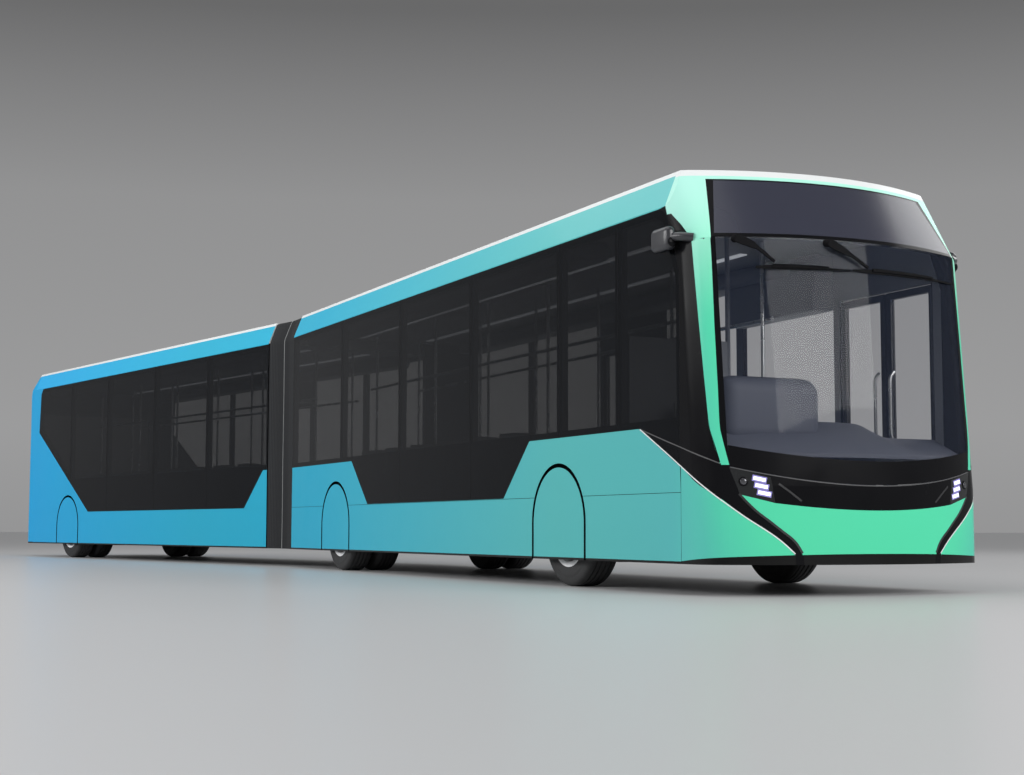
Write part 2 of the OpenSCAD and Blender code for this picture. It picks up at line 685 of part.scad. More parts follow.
// Steering knuckle with kingpin, spindle, and an arm over the tyre that carries the wheel cover
arm_hx = 30;
arm_z = [tyre_r + 165, tyre_r + 215];
arm_top = [tyre_r * 2 + 14, tyre_r * 2 + 36];
arm_y = [kingpin_y - 110, kingpin_y - 80];
module knuckle() translate([front_axle_x, 0, 0]) {
    translate([0, kingpin_y, fork_z[0] - 5]) cylinder(r = kingpin_r, h = arm_z[1] - fork_z[0] + 5, $fn = 32);
    box([-45, kingpin_y - 40, fork_z[0] + fork_t + 1], [45, kingpin_y + 45, fork_z[1] - fork_t - 1]);
    translate([0, kingpin_y, tyre_r]) rotate([-90, 0, 0])
        cylinder(r = spindle_r, h = front_wheel_y - kingpin_y + 65, $fn = 32);
    box([-arm_hx, arm_y[0], arm_z[0]], [arm_hx, kingpin_y, arm_z[1]]);
    box([-arm_hx, arm_y[0], arm_z[0]], [arm_hx, arm_y[1], arm_top[1]]);
    box([-arm_hx, arm_y[0], arm_top[0]], [arm_hx, half_w - cover_t, arm_top[1]]);
}
module left_knuckle() color("dimgray") knuckle();
module right_knuckle() color("dimgray") mirror([0, 1, 0]) knuckle();

// Tyres and rims, drawn round the z axis with the outer side up
tyre_fit = 0.3;
tyre_half = tyre_w / 2;
module tyre()
    rotate_extrude($fn = 96)
        polygon([[rim_r, -tyre_half + 28], [rim_r + 40, -tyre_half + 6], [rim_r + 95, -tyre_half],
                 [tyre_r - 30, -tyre_half + 8], [tyre_r - 8, -tyre_half + 24], [tyre_r, -tyre_half + 48],
                 [tyre_r, tyre_half - 48], [tyre_r - 8, tyre_half - 24], [tyre_r - 30, tyre_half - 8],
                 [rim_r + 95, tyre_half], [rim_r + 40, tyre_half - 6], [rim_r, tyre_half - 28]]);
rim_t = 16;
disc_t = 18;
module rim(width, disc, bore, hub)
    rotate_extrude($fn = 96) {
        translate([rim_r - tyre_fit - rim_t, -width / 2 + 24]) square([rim_t, width - 48]);
        translate([bore + pin_gap, disc]) square([rim_r - tyre_fit - rim_t - bore - pin_gap + 2, disc_t]);
        translate([bore + pin_gap, disc - hub]) square([60, hub + disc_t]);
    }
module wheel_place(x, y, side) translate([x, side * y, tyre_r]) rotate([-90 * side, 0, 0]) children();
module twin_tyres() for (end = [-1, 1]) translate([0, 0, end * (twin_w - tyre_w) / 2]) tyre();
disc_front = 35;
disc_twin = 120;
hub_front = 40;
hub_twin = 70;
module front_left_tyre() color("dimgray") wheel_place(front_axle_x, front_wheel_y, 1) tyre();
module front_right_tyre() color("dimgray") wheel_place(front_axle_x, front_wheel_y, -1) tyre();
module mid_left_tyres() color("dimgray") wheel_place(mid_axle_x, twin_wheel_y, 1) twin_tyres();
module mid_right_tyres() color("dimgray") wheel_place(mid_axle_x, twin_wheel_y, -1) twin_tyres();
module rear_left_tyres() color("dimgray") wheel_place(-rear_axle_x, twin_wheel_y, 1) twin_tyres();
module rear_right_tyres() color("dimgray") wheel_place(-rear_axle_x, twin_wheel_y, -1) twin_tyres();
module front_left_rim() color("white") wheel_place(front_axle_x, front_wheel_y, 1) rim(tyre_w, disc_front, spindle_r, hub_front);
module front_right_rim() color("white") wheel_place(front_axle_x, front_wheel_y, -1) rim(tyre_w, disc_front, spindle_r, hub_front);
module mid_left_rim() color("white") wheel_place(mid_axle_x, twin_wheel_y, 1) rim(twin_w, disc_twin, stub_r, hub_twin);
module mid_right_rim() color("white") wheel_place(mid_axle_x, twin_wheel_y, -1) rim(twin_w, disc_twin, stub_r, hub_twin);
module rear_left_rim() color("white") wheel_place(-rear_axle_x, twin_wheel_y, 1) rim(twin_w, disc_twin, stub_r, hub_twin);
module rear_right_rim() color("white") wheel_place(-rear_axle_x, twin_wheel_y, -1) rim(twin_w, disc_twin, stub_r, hub_twin);

// Door leaves: a frame round a pane, with a hinge pin beside the jamb; fore leaves hang on the front jamb
hinge_y = half_w - leaf_t + 2;
leaf_w = (door_w - 2 * leaf_gap - meeting_gap) / 2;
leaf_low = floor_z + 12;
leaf_high = door_top - 12;
pin_r = 11;
pin_end = 0.3;
module leaf_body(x0) {
    y0 = half_w - leaf_t - 5;
    difference() {
        box([x0, y0, leaf_low], [x0 + leaf_w, y0 + leaf_t, leaf_high]);
        for (y = [y0 - 1, y0 + leaf_t / 2 + glass_t / 2])
            box([x0 + leaf_frame, y, leaf_low + leaf_frame],
                [x0 + leaf_w - leaf_frame, y + leaf_t / 2 - glass_t / 2 + 1, leaf_high - leaf_frame]);
    }
}
module hinge_pin(x)
    translate([x, hinge_y, floor_z + pin_end]) cylinder(r = pin_r, h = door_top - floor_z - 2 * pin_end, $fn = 24);
module aft_leaf(door_x) {
    leaf_body(door_x + leaf_gap);
    hinge_pin(door_x + hinge_x);
}
module fore_leaf(door_x) {
    leaf_body(door_x + door_w - leaf_gap - leaf_w);
    hinge_pin(door_x + door_w - hinge_x);
}
module front_door_fore_leaf() color("black") fore_leaf(front_doors[1]);
module front_door_aft_leaf() color("black") aft_leaf(front_doors[1]);
module mid_door_fore_leaf() color("black") fore_leaf(front_doors[0]);
module mid_door_aft_leaf() color("black") aft_leaf(front_doors[0]);
module rear_door_fore_leaf() color("black") fore_leaf(rear_doors[0]);
module rear_door_aft_leaf() color("black") aft_leaf(rear_doors[0]);

// Turntable: a base plate on the front car carries the ring on which the rear car's arm and floor plate turn
base_z = [236, 272];
arm_low = 282;
web_hy = 460;
module turntable_base() color("dimgray")
    difference() {
        union() {
            translate([0, 0, base_z[0]]) cylinder(r = plate_r - 60, h = base_z[1] - base_z[0], $fn = 64);
            box([0, -web_hy, base_z[0]], [bellows_half + 120, web_hy, base_z[1]]);
            box([bellows_half, -rail_y + rail_w / 2, base_z[0]], [bellows_half + 120, rail_y - rail_w / 2, floor_low]);
            translate([0, 0, base_z[1]]) difference() {
                cylinder(r = ring_r + 30, h = arm_low - base_z[1] - pin_end, $fn = 64);
                translate([0, 0, -1]) cylinder(r = ring_r - 30, h = 40, $fn = 64);
            }
        }
        both_sides() box([bellows_half, rail_y - rail_w / 2, 0], [far, far, far]);
        translate([0, 0, 0]) cylinder(r = pivot_r + pin_gap, h = 400, $fn = 48);
    }
module turntable_arm() color("dimgray") {
    translate([0, 0, base_z[0]]) cylinder(r = pivot_r, h = arm_low - base_z[0] + 5, $fn = 48);
    translate([0, 0, arm_low]) cylinder(r = plate_r - 60, h = 30, $fn = 64);
    translate([0, 0, arm_low + 20]) cylinder(r = plate_r, h = floor_z - arm_low - 20, $fn = 64);
    difference() {
        box([-bellows_half, -web_hy, arm_low], [0, web_hy, floor_z - 10]);
        box([-far, -far, 0], [-bellows_half, far, far]);
    }
}

// Bellows: a hood over the turntable, lofted from car to car through a hoop on the bend's middle plane
bellows_t = 40;
hood_in = 4;
hoop_half = 12;
// Stations of the loft: distance along the bellows, share of the bend, and inset of the outer skin
hood_end = bellows_half - 0.5;
stations = [[hood_end, 0, hood_in], [hoop_half, 0.5, hood_in], [hoop_half, 0.5, 0],
            [-hoop_half, 0.5, 0], [-hoop_half, 0.5, hood_in], [-hood_end, 1, hood_in]];
function hood_half(t) = [[half_w - t, skirt_z], [half_w - t, header_z], [head_half - t, roof_z - t]];
function hood_side(t) = concat(hood_half(t), [for (i = [2:-1:0]) [-hood_half(t)[i][0], hood_half(t)[i][1]]]);
function hood_ring(t) = concat(hood_side(t), [for (i = [5:-1:0]) hood_side(bellows_t)[i]]);
function hood_point(s, p) =
    let (a = s[1] * bend) [s[0] * cos(a) - p[0] * sin(a), s[0] * sin(a) + p[0] * cos(a), p[1]];
module bellows() color("black") {
    ring = 12;
    last = (len(stations) - 1) * ring;
    points = [for (s = stations, p = hood_ring(s[2])) hood_point(s, p)];
    sides = [for (k = [0:len(stations) - 2], i = [0:ring - 1], half = [0, 1])
        let (a = k * ring + i, b = k * ring + (i + 1) % ring)
        half == 0 ? [a, a + ring, b] : [b, a + ring, b + ring]];
    caps = [for (i = [0:4], end = [0, last], half = [0, 1])
        let (a = end + i, b = end + i + 1, c = end + ring - 2 - i, d = end + ring - 1 - i, f = half == 0 ? [a, b, c] : [a, c, d])
        end == 0 ? f : [f[2], f[1], f[0]]];
    polyhedron(points, concat(sides, caps));
}

// Rear end: round corners, and a lean forward to the roof
tail_seam = 340;
module tail_plan(t) {
    for (side = [-1, 1]) translate([-tail_x + tail_r, side * (half_w - tail_r)]) circle(tail_r - t, $fn = 48);
    translate([-tail_x + t, -half_w + tail_r]) square([tail_x, body_w - 2 * tail_r]);
    translate([-tail_x + tail_r, -half_w + t]) square([tail_x, body_w - 2 * t]);
}
module rear_form(t, low = skirt_z)
    intersection() {
        along(-far, -bellows_half) section(t, low);
        linear_extrude(far) tail_plan(t);
        across(-far, far) polygon([[-tail_x + t, low], [0, low], [0, roof_z - t], [-tail_x + tail_brow_x + t, roof_z - t],
                                   [-tail_x + t, tail_brow_z]]);
    }
rear_glass_hw = half_w - 250;
rear_glass_z = [1500, 2500];
tail_lamp_y = [half_w - 310, half_w - 170];
tail_lamp_z = [900, 1350];
module rear_glass_outline()
    translate([-rear_glass_hw, rear_glass_z[0]]) square([2 * rear_glass_hw, rear_glass_z[1] - rear_glass_z[0]]);
hatch_hw = half_w - 400;
hatch_z = [430, 1400];
module hatch_outline(t)
    translate([-hatch_hw + t, hatch_z[0] + t]) square([2 * (hatch_hw - t), hatch_z[1] - hatch_z[0] - 2 * t]);
module tail_lamp_outline()
    for (side = [0, 1]) mirror([side, 0]) translate([tail_lamp_y[0], tail_lamp_z[0]])
        square([tail_lamp_y[1] - tail_lamp_y[0], tail_lamp_z[1] - tail_lamp_z[0]]);
module tail_shell(t)
    difference() {
        rear_form(0);
        rear_form(t, skirt_z - 100);
    }
module rear_mask() color("deepskyblue")
    difference() {
        intersection() {
            tail_shell(mask_t);
            box([-far, -far, 0], [-tail_x + tail_seam, far, far]);
        }
        along(-far, -tail_x + mask_t + 10) {
            rear_glass_outline();
            tail_lamp_outline();
        }
        along(-tail_x - 1, -tail_x + groove_d) difference() {
            hatch_outline(0);
            hatch_outline(groove_w);
        }
    }
module rear_window() color("black") along(-tail_x, -tail_x + glass_t) rear_glass_outline();
module tail_lamps() color("red") along(-tail_x, -tail_x + mask_t) tail_lamp_outline();

front_car() front_floor();
front_car() front_right_wall();
front_car() front_left_wall();
front_car() front_roof();
front_car() front_roof_units();
front_car() front_mask();
front_car() front_trim();
front_car() windscreen();
front_car() destination_glass();
front_car() front_side_glass();
front_car() headlamps();
front_car() wipers();
front_car() camera_mirrors();
front_car() dashboard();
front_car() steering_wheel();
front_car() driver_seat();
front_car() cab_partition();
front_car() front_seats();
front_car() front_handrails();
front_car() mid_wheel_covers();
front_car() front_axle();
front_car() mid_axle();
front_car() turntable_base();
front_car() bellows();
rear_car() rear_floor();
rear_car() rear_right_wall();
rear_car() rear_left_wall();
rear_car() rear_roof();
rear_car() rear_roof_units();
rear_car() rear_mask();
rear_car() rear_window();
rear_car() rear_side_glass();
rear_car() tail_lamps();
rear_car() rear_seats();
rear_car() rear_handrails();
rear_car() rear_wheel_covers();
rear_car() drive_axle();
rear_car() turntable_arm();
front_car() left_knuckle();
front_car() right_knuckle();
front_car() left_steer_cover();
front_car() right_steer_cover();
front_car() front_left_tyre();
front_car() front_right_tyre();
front_car() mid_left_tyres();
front_car() mid_right_tyres();
rear_car() rear_left_tyres();
rear_car() rear_right_tyres();
front_car() front_left_rim();
front_car() front_right_rim();
front_car() mid_left_rim();
front_car() mid_right_rim();
rear_car() rear_left_rim();
rear_car() rear_right_rim();
front_car() front_door_fore_leaf();
front_car() front_door_aft_leaf();
front_car() mid_door_fore_leaf();
front_car() mid_door_aft_leaf();
rear_car() rear_door_fore_leaf();
rear_car() rear_door_aft_leaf();
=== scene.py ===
"""Looks of an articulated electric bus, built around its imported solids."""

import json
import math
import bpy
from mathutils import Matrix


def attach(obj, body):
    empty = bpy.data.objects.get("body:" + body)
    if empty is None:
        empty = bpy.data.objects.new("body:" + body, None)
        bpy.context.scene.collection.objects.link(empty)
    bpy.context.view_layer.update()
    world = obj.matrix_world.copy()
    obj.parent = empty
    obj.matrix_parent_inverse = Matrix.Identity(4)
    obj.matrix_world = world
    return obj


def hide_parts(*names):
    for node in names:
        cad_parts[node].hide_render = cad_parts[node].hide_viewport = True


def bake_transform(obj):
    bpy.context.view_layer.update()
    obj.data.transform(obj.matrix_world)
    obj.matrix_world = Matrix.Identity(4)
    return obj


bl_info = {
    "name": "Articulated electric bus",
    "version": (1, 0, 0),
    "blender": (4, 5, 0),
    "location": "3D View > Sidebar > Bus",
    "description": "Dresses the bus's solids with finishes, tyres, seats, bellows and fittings",
    "category": "Object",
}

import bmesh
import bpy
import numpy as np

from mathutils import Matrix

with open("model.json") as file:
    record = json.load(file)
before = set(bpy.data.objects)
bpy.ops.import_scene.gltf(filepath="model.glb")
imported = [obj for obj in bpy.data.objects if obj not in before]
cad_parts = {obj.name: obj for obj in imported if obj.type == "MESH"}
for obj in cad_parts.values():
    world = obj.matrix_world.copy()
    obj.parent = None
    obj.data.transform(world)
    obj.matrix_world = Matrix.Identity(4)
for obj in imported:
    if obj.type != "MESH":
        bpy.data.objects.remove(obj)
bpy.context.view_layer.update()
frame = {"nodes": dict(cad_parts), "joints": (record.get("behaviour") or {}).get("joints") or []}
JOINTS = {joint["name"]: joint for joint in frame["joints"]}
PIVOT = np.array([*JOINTS["articulation"]["pos_m"][:2], 0.0])
ROLL = JOINTS["rear_left_roll"]["axis"]
BEND = math.atan2(-ROLL[0], ROLL[1])

# Sizes of the body that the pieces below sit on, in metres, in each car's own frame:
# x forward from the turntable's axis, y to the left, z up.
HALF_W = 1.25
SKIRT_Z = 0.226
MASK_SEAM = 9.61
LID_Z = 3.183
SILL_Z = 1.248
HEADER_Z = 2.915
ROOF_Z = 3.19
HEAD_HALF = 1.14
FLOOR_Z = 0.36
INNER_Y = 1.19
BELLOWS_END = 0.5445
NOSE_X = 10.72
TAIL_X = 9.8
LEAN_X = NOSE_X - 0.513
BOW_R = 2.42
CORNER_R = 0.28
WAIST_Z = 0.79
BROW_Z = 2.62
SCREEN_Z = 0.93
SCREEN_DROP = 0.13
SCREEN_HW = 1.09
SCREEN_LEAN = math.radians(5.1)
BROW_LEAN = math.radians(33)
TYRE_R = 0.479
TYRE_W = 0.275
RIM_R = 0.286
TWIN_W = 0.61
AXLES = {"front": 8.04, "mid": 2.24, "rear": -7.78}
WHEEL_Y = {"front": 1.0195, "mid": 0.885, "rear": 0.885}
DISC_FACE = {"front": 0.053, "mid": 0.138, "rear": 0.138}
SEAT_Y = (0.965, 0.525)
SEAT_BACK, TRAY_Z = 0.64, 0.36
DRIVER_AT, DRIVER_BACK = (9.35, -0.64), 0.76
SEAT_ROWS = {
    "front_car": ((3.0, 3.75, 4.5, 5.25, 6.0, 6.75), (3.0, 5.95, 6.7)),
    "rear_car": (
        (-1.5, -2.25, -3.0, -3.75, -4.5, -5.25, -6.0, -6.75, -9.4),
        (-1.5, -2.25, -3.0, -6.0, -6.75, -9.4),
    ),
}
ROOF_UNITS = {
    "front_car": ((0.9, 3.5, 0.92), (3.7, 6.3, 0.92), (6.6, 8.9, 0.86)),
    "rear_car": ((-3.6, -1.0, 0.92), (-6.2, -3.8, 0.86), (-8.8, -6.4, 0.92)),
}
# Doorways: car and aft edge, their width, and the gaps beside and between the leaves
DOORS = {"front": ("front_car", 8.7), "mid": ("front_car", 4.3), "rear": ("rear_car", -5.1)}
DOOR_W, SIDE_GAP, MEET_GAP = 1.25, 0.008, 0.02
# The bellows' wall, and how far before a bend of its section the arc starts
HOOD_T, BEND_R = 0.04, 0.04
# The front's skin is searched from an upright line, within a reach. Its slope is taken over NEAR
FRONT_LINE_X, FRONT_REACH, HALVINGS, NEAR = 9.0, 4.0, 40, 0.004
# Wall faces shorter than SLIM stand between panes. Slanting ones end the last pane before the mask
SLIM, LAST_PANE_X, LAST_PANE_END = 0.06, 9.8, 0.3
# Ways that a turned boss can face: which of its columns give x, y and z, and their signs
FORWARD, REARWARD, UPWARD = ((1, 0, 2), (1, 1, 1)), ((1, 0, 2), (-1, 1, 1)), ((0, 2, 1), (1, 1, 1))
SHARP_EDGE = math.radians(40)
# Paint: the ends of the ramp along the bus, the flakes, a painted light on the top and both edges
RAMP_FROM, RAMP_TO = -10.0, 10.5
FLAKE, PAINTED_TOP_LIGHT = (0.4, 0.9, 0.9, 1), (0.5, 0.85, 0.74, 1)
EDGE_WHITE, LIP_BLACK = (0.68, 0.7, 0.7, 1), (0.004, 0.004, 0.004, 1)
# Depth of all grain and weave
BUMP = 0.002


# Places


def placed(points, car):
    """Car points to the part's frame: turned by the bend for the rear car, and moved to the pivot."""
    points = np.asarray(points, float)
    if car == "rear_car":
        c, s = math.cos(BEND), math.sin(BEND)
        points = points @ np.array([[c, s, 0], [-s, c, 0], [0, 0, 1]])
    return points + PIVOT


def in_car(points, car):
    """The part's frame to car points: the inverse of placed."""
    points = np.asarray(points, float) - PIVOT
    if car == "rear_car":
        c, s = math.cos(BEND), math.sin(BEND)
        points = points @ np.array([[c, -s, 0], [s, c, 0], [0, 0, 1]])
    return points


def leaning_x(y, z, z0, lean, back):
    """x of a leaning front: a bow of radius BOW_R between two corner circles, sheared back with
    height."""
    c = math.cos(lean)
    bow = BOW_R / c
    nose = LEAN_X + (NOSE_X - LEAN_X) * c
    corner_y = HALF_W - CORNER_R
    centre = nose - bow + math.sqrt((bow - CORNER_R) ** 2 - corner_y**2)
    meet = corner_y * bow / (bow - CORNER_R)
    y = np.minimum(np.abs(y), HALF_W)
    on_bow = nose - bow + np.sqrt(bow**2 - y**2)
    on_corner = centre + np.sqrt(np.maximum(CORNER_R**2 - np.maximum(y - corner_y, 0) ** 2, 0))
    plan = np.where(y <= meet, on_bow, on_corner)
    return LEAN_X - back + (plan - LEAN_X) / c - (z - z0) * math.tan(lean)


def front_x(y, z):
    """x of the bus's front at (y, z): the rearmost of the upright nose, the leaning screen and the
    brow."""
    y, z = np.asarray(y, float), np.asarray(z, float)
    back = (BROW_Z - WAIST_Z) * math.tan(SCREEN_LEAN)
    nose = leaning_x(y, z, WAIST_Z, 0.0, 0.0)
    screen = leaning_x(y, z, WAIST_Z, SCREEN_LEAN, 0.0)
    brow = leaning_x(y, z, BROW_Z, BROW_LEAN, back)
    return np.minimum(np.minimum(nose, screen), brow)


def on_front(points):
    """Points carried to the front's skin, level and outwards from the upright line at FRONT_LINE_X,
    by halving intervals."""
    points = np.asarray(points, float)
    z = points[:, 2]
    way = np.stack([points[:, 0] - FRONT_LINE_X, points[:, 1]], 1)
    way = way / np.linalg.norm(way, axis=1)[:, None]
    low, high = np.zeros(len(z)), np.full(len(z), FRONT_REACH)
    for _ in range(HALVINGS):
        mid = (low + high) / 2
        x, y = FRONT_LINE_X + mid * way[:, 0], mid * way[:, 1]
        inside = (np.abs(y) < HALF_W) & (x < front_x(y, z))
        low, high = np.where(inside, mid, low), np.where(inside, high, mid)
    return np.stack([FRONT_LINE_X + low * way[:, 0], low * way[:, 1], z], 1)


def on_face(y, z):
    """Points of the front's skin at (y, z)."""
    y, z = np.asarray(y, float), np.asarray(z, float)
    return np.stack([front_x(y, z), y, z], -1)


def front_normals(points):
    """Outward normals of the front's skin: the cross product of its level and upright tangents."""
    points = np.asarray(points, float)
    turn = np.stack([-points[:, 1], points[:, 0] - FRONT_LINE_X, np.zeros(len(points))], 1) * NEAR
    level = on_front(points + turn) - on_front(points - turn)
    rise = np.array([0, 0, NEAR])
    upright = on_front(points + rise) - on_front(points - rise)
    normal = np.cross(level, upright)
    return normal / np.linalg.norm(normal, axis=1)[:, None]


def smooth_path(points, count):
    """A chordal curve through the points, sampled evenly along its length by local cubics."""
    points = np.asarray(points, float)
    run = np.concatenate([[0], np.cumsum(np.linalg.norm(np.diff(points, axis=0), axis=1))])
    slope = np.gradient(points, run, axis=0)
    at = np.linspace(0, run[-1], count)
    k = np.clip(np.searchsorted(run, at, "right") - 1, 0, len(run) - 2)
    h = (run[k + 1] - run[k])[:, None]
    t = (at - run[k])[:, None] / h
    a, b = points[k], points[k + 1]
    first = (2 * t**3 - 3 * t**2 + 1) * a + (t**3 - 2 * t**2 + t) * h * slope[k]
    return first + (3 * t**2 - 2 * t**3) * b + (t**3 - t**2) * h * slope[k + 1]


# Shapes: each returns points and faces


def loft(rings):
    """Closed rings (count, points, 3) joined by quads, with a face over each end."""
    count, size = rings.shape[:2]
    index = np.arange(count * size).reshape(count, size)
    a, b = index[:-1], index[1:]
    quads = np.stack([a, np.roll(a, -1, 1), np.roll(b, -1, 1), b], -1).reshape(-1, 4)
    faces = quads.tolist() + [index[0, ::-1].tolist(), index[-1].tolist()]
    return rings.reshape(-1, 3), faces


def closed_loft(rings):
    """Closed rings joined by quads all the way round, the last ring to the first."""
    count, size = rings.shape[:2]
    index = np.arange(count * size).reshape(count, size)
    b = np.roll(index, -1, 0)
    quads = np.stack([index, np.roll(index, -1, 1), np.roll(b, -1, 1), b], -1).reshape(-1, 4)
    return rings.reshape(-1, 3), quads.tolist()


def joined(shapes):
    """Several shapes as one list of points and faces."""
    points, faces, base = [], [], 0
    for shape_points, shape_faces in shapes:
        points.append(shape_points)
        faces += [[base + i for i in face] for face in shape_faces]
        base += len(shape_points)
    return np.concatenate(points), faces


def rounded_ring(hx, hy, r, per_corner):
    """A rectangle with corner circles, counterclockwise: corner centre plus r times (cos, sin)."""
    angle = np.linspace(0, math.pi / 2, per_corner)
    turns = np.arange(4)[:, None] * math.pi / 2 + angle[None, :]
    signs = np.array([[1, 1], [-1, 1], [-1, -1], [1, -1]])
    centre = signs * np.array([hx - r, hy - r])
    x = centre[:, None, 0] + r * np.cos(turns)
    y = centre[:, None, 1] + r * np.sin(turns)
    return np.stack([x.ravel(), y.ravel()], 1)


def block(low, high, r, per_corner=4):
    """A box with round edges: rounded rectangles stacked in z, drawn in by r(1 - sin) at each end."""
    low, high = np.asarray(low, float), np.asarray(high, float)
    half = (high - low) / 2
    r = min(r, *(half * 0.98))
    angle = np.linspace(0, math.pi / 2, per_corner)
    inset = np.concatenate([r * (1 - np.sin(angle)), r * (1 - np.cos(angle))])
    height = np.concatenate([-half[2] + r * (1 - np.cos(angle)), half[2] - r * (1 - np.sin(angle))])
    rings = []
    for draw, z in zip(inset, height):
        flat = rounded_ring(half[0] - draw, half[1] - draw, max(r - draw, r * 0.25), per_corner)
        rings.append(np.column_stack([flat, np.full(len(flat), z)]))
    return loft(np.array(rings) + (low + high) / 2)


def tube(path, radius, sides=12):
    """A circle carried along a path, square to it."""
    path = np.asarray(path, float)
    along = np.gradient(path, axis=0)
    along /= np.linalg.norm(along, axis=1)[:, None]
    aside = np.eye(3)[np.argmin(np.abs(along).max(0))]
    across = np.cross(along, aside)
    across /= np.linalg.norm(across, axis=1)[:, None]
    up = np.cross(along, across)
    turn = np.linspace(0, 2 * math.pi, sides, endpoint=False)[None, :, None]
    rings = path[:, None] + radius * (np.cos(turn) * across[:, None] + np.sin(turn) * up[:, None])
    return loft(rings)


def strip(path, normal, width, proud, sunk=0.002):
    """A flat bar along a path on a skin: a rectangle across the path, from sunk below it to proud of
    it."""
    path, normal = np.asarray(path, float), np.asarray(normal, float)
    along = np.gradient(path, axis=0)
    side = np.cross(along, normal)
    side *= width / 2 / np.linalg.norm(side, axis=1)[:, None]
    rings = np.stack(
        [path + side - sunk * normal, path + side + proud * normal,
         path - side + proud * normal, path - side - sunk * normal], 1)
    return loft(rings)


def turned(profile, place, side=1, steps=64):
    """A closed profile of (radius, distance along the axle) turned round a level axle at place."""
    profile = np.asarray(profile, float)
    turn = np.linspace(0, 2 * math.pi, steps, endpoint=False)[:, None]
    x = profile[None, :, 0] * np.cos(turn)
    z = profile[None, :, 0] * np.sin(turn)
    y = np.broadcast_to(side * profile[None, :, 1], x.shape)
    return closed_loft(np.stack([x, y, z], -1) + np.asarray(place, float))


def boss(profile, place, facing, steps):
    """A closed profile of (radius, rise) turned about a line through place that faces one of the ways
    FORWARD, REARWARD and UPWARD."""
    points, faces = turned(profile, (0, 0, 0), 1, steps)
    columns, signs = facing
    return points[:, list(columns)] * np.array(signs) + np.asarray(place, float), faces


def flipped(shape):
    """The same shape on the other side of the car, y to -y."""
    return shape[0] * np.array([1, -1, 1]), shape[1]


def both_sides(shapes):
    """The shapes and their copies on the other side."""
    return shapes + [flipped(shape) for shape in shapes]


def piece(name, shapes, car, finish_name, body=None):
    """A mesh object from shapes in car points, with outward faces and one finish. It rides on its car
    or on the body that is named, and "none" leaves it on no body."""
    points, faces = joined(shapes)
    mesh = bpy.data.meshes.new(name)
    mesh.from_pydata(placed(points, car).tolist(), [], faces)
    shell = bmesh.new()
    shell.from_mesh(mesh)
    bmesh.ops.recalc_face_normals(shell, faces=shell.faces)
    shell.to_mesh(mesh)
    shell.free()
    mesh.materials.append(FINISHES[finish_name])
    mesh.shade_smooth()
    mesh.set_sharp_from_angle(angle=SHARP_EDGE)
    made = bpy.data.objects.new(name, mesh)
    bpy.context.scene.collection.objects.link(made)
    if body != "none":
        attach(made, body or car)
    return made


# Finishes


def node(tree, kind, inputs, **options):
    """Adds a shader node, sets its options, and feeds inputs by name or number with values or
    sockets."""
    made = tree.nodes.new("ShaderNode" + kind)
    for key, value in options.items():
        setattr(made, key, value)
    for key, value in inputs.items():
        if isinstance(value, bpy.types.NodeSocket):
            tree.links.new(value, made.inputs[key])
        else:
            made.inputs[key].default_value = value
    return made


def mixed(tree, share, a, b):
    """A colour between a and b."""
    return node(tree, "Mix", {0: share, 6: a, 7: b}, data_type="RGBA").outputs[2]


def rgba(colour, gain=1.0):
    """A colour times gain, held between 0 and 1, with an alpha of 1."""
    return (*(min(max(c * gain, 0.0), 1.0) for c in colour[:3]), 1.0)


def maths(tree, operation, a, b=0.0, c=0.0):
    """One step of arithmetic on values or sockets."""
    return node(tree, "Math", {0: a, 1: b, 2: c}, operation=operation).outputs[0]


def map_range(tree, value, low, high, a, b, **options):
    """A value carried from low..high to a..b and held at both ends."""
    return node(tree, "MapRange", {0: value, 1: low, 2: high, 3: a, 4: b}, **options).outputs[0]


def ramp(tree, share, stops):
    """A ramp of colours fed by share, with a stop for each (position, colour)."""
    made = tree.nodes.new("ShaderNodeValToRGB")
    tree.links.new(share, made.inputs[0])
    elements = made.color_ramp.elements
    elements.remove(elements[1])
    for k, (at, colour) in enumerate(stops):
        stop = elements[0] if k == 0 else elements.new(at)
        stop.position, stop.color = at, rgba(colour)
    return made.outputs[0]


def object_place(tree):
    """Object coordinates, which are the part's own frame."""
    return node(tree, "TexCoord", {}).outputs["Object"]


def noise(tree, scale, detail=3.0, stretch=None):
    """Noise on Object coordinates, drawn out along an axis where stretch gives a scale for each."""
    place = object_place(tree)
    if stretch:
        place = node(tree, "Mapping", {"Vector": place, "Scale": stretch}).outputs[0]
    return node(tree, "TexNoise", {"Vector": place, "Scale": scale, "Detail": detail}).outputs[0]


def finish(name, colour, rough, metal=0.0, coat=0.0, drift=(2.5, 0.08), grain=(240.0, 0.06),
           uneven=0.06, stretch=None, sheen=0.0, specular=0.5):
    """A shader whose colour and gloss drift with slow noise, and whose skin has a fine grain. drift
    and grain are a scale and a strength each."""
    material = bpy.data.materials.new(name)
    material.use_nodes = True
    tree = material.node_tree
    shader = tree.nodes["Principled BSDF"]
    cloud = noise(tree, drift[0])
    colour_out = mixed(tree, cloud, rgba(colour, 1 - drift[1]), rgba(colour, 1 + drift[1]))
    tree.links.new(colour_out, shader.inputs["Base Color"])
    spread = map_range(tree, cloud, 0.3, 0.7, max(rough - uneven, 0.02), rough + uneven)
    tree.links.new(spread, shader.inputs["Roughness"])
    fine = noise(tree, grain[0], 2.0, stretch)
    bump = node(tree, "Bump", {"Strength": grain[1], "Distance": BUMP, "Height": fine})
    tree.links.new(bump.outputs[0], shader.inputs["Normal"])
    for socket, value in (("Metallic", metal), ("Coat Weight", coat), ("Coat Roughness", 0.04),
                          ("Specular IOR Level", specular), ("Sheen Weight", sheen)):
        shader.inputs[socket].default_value = value
    return material


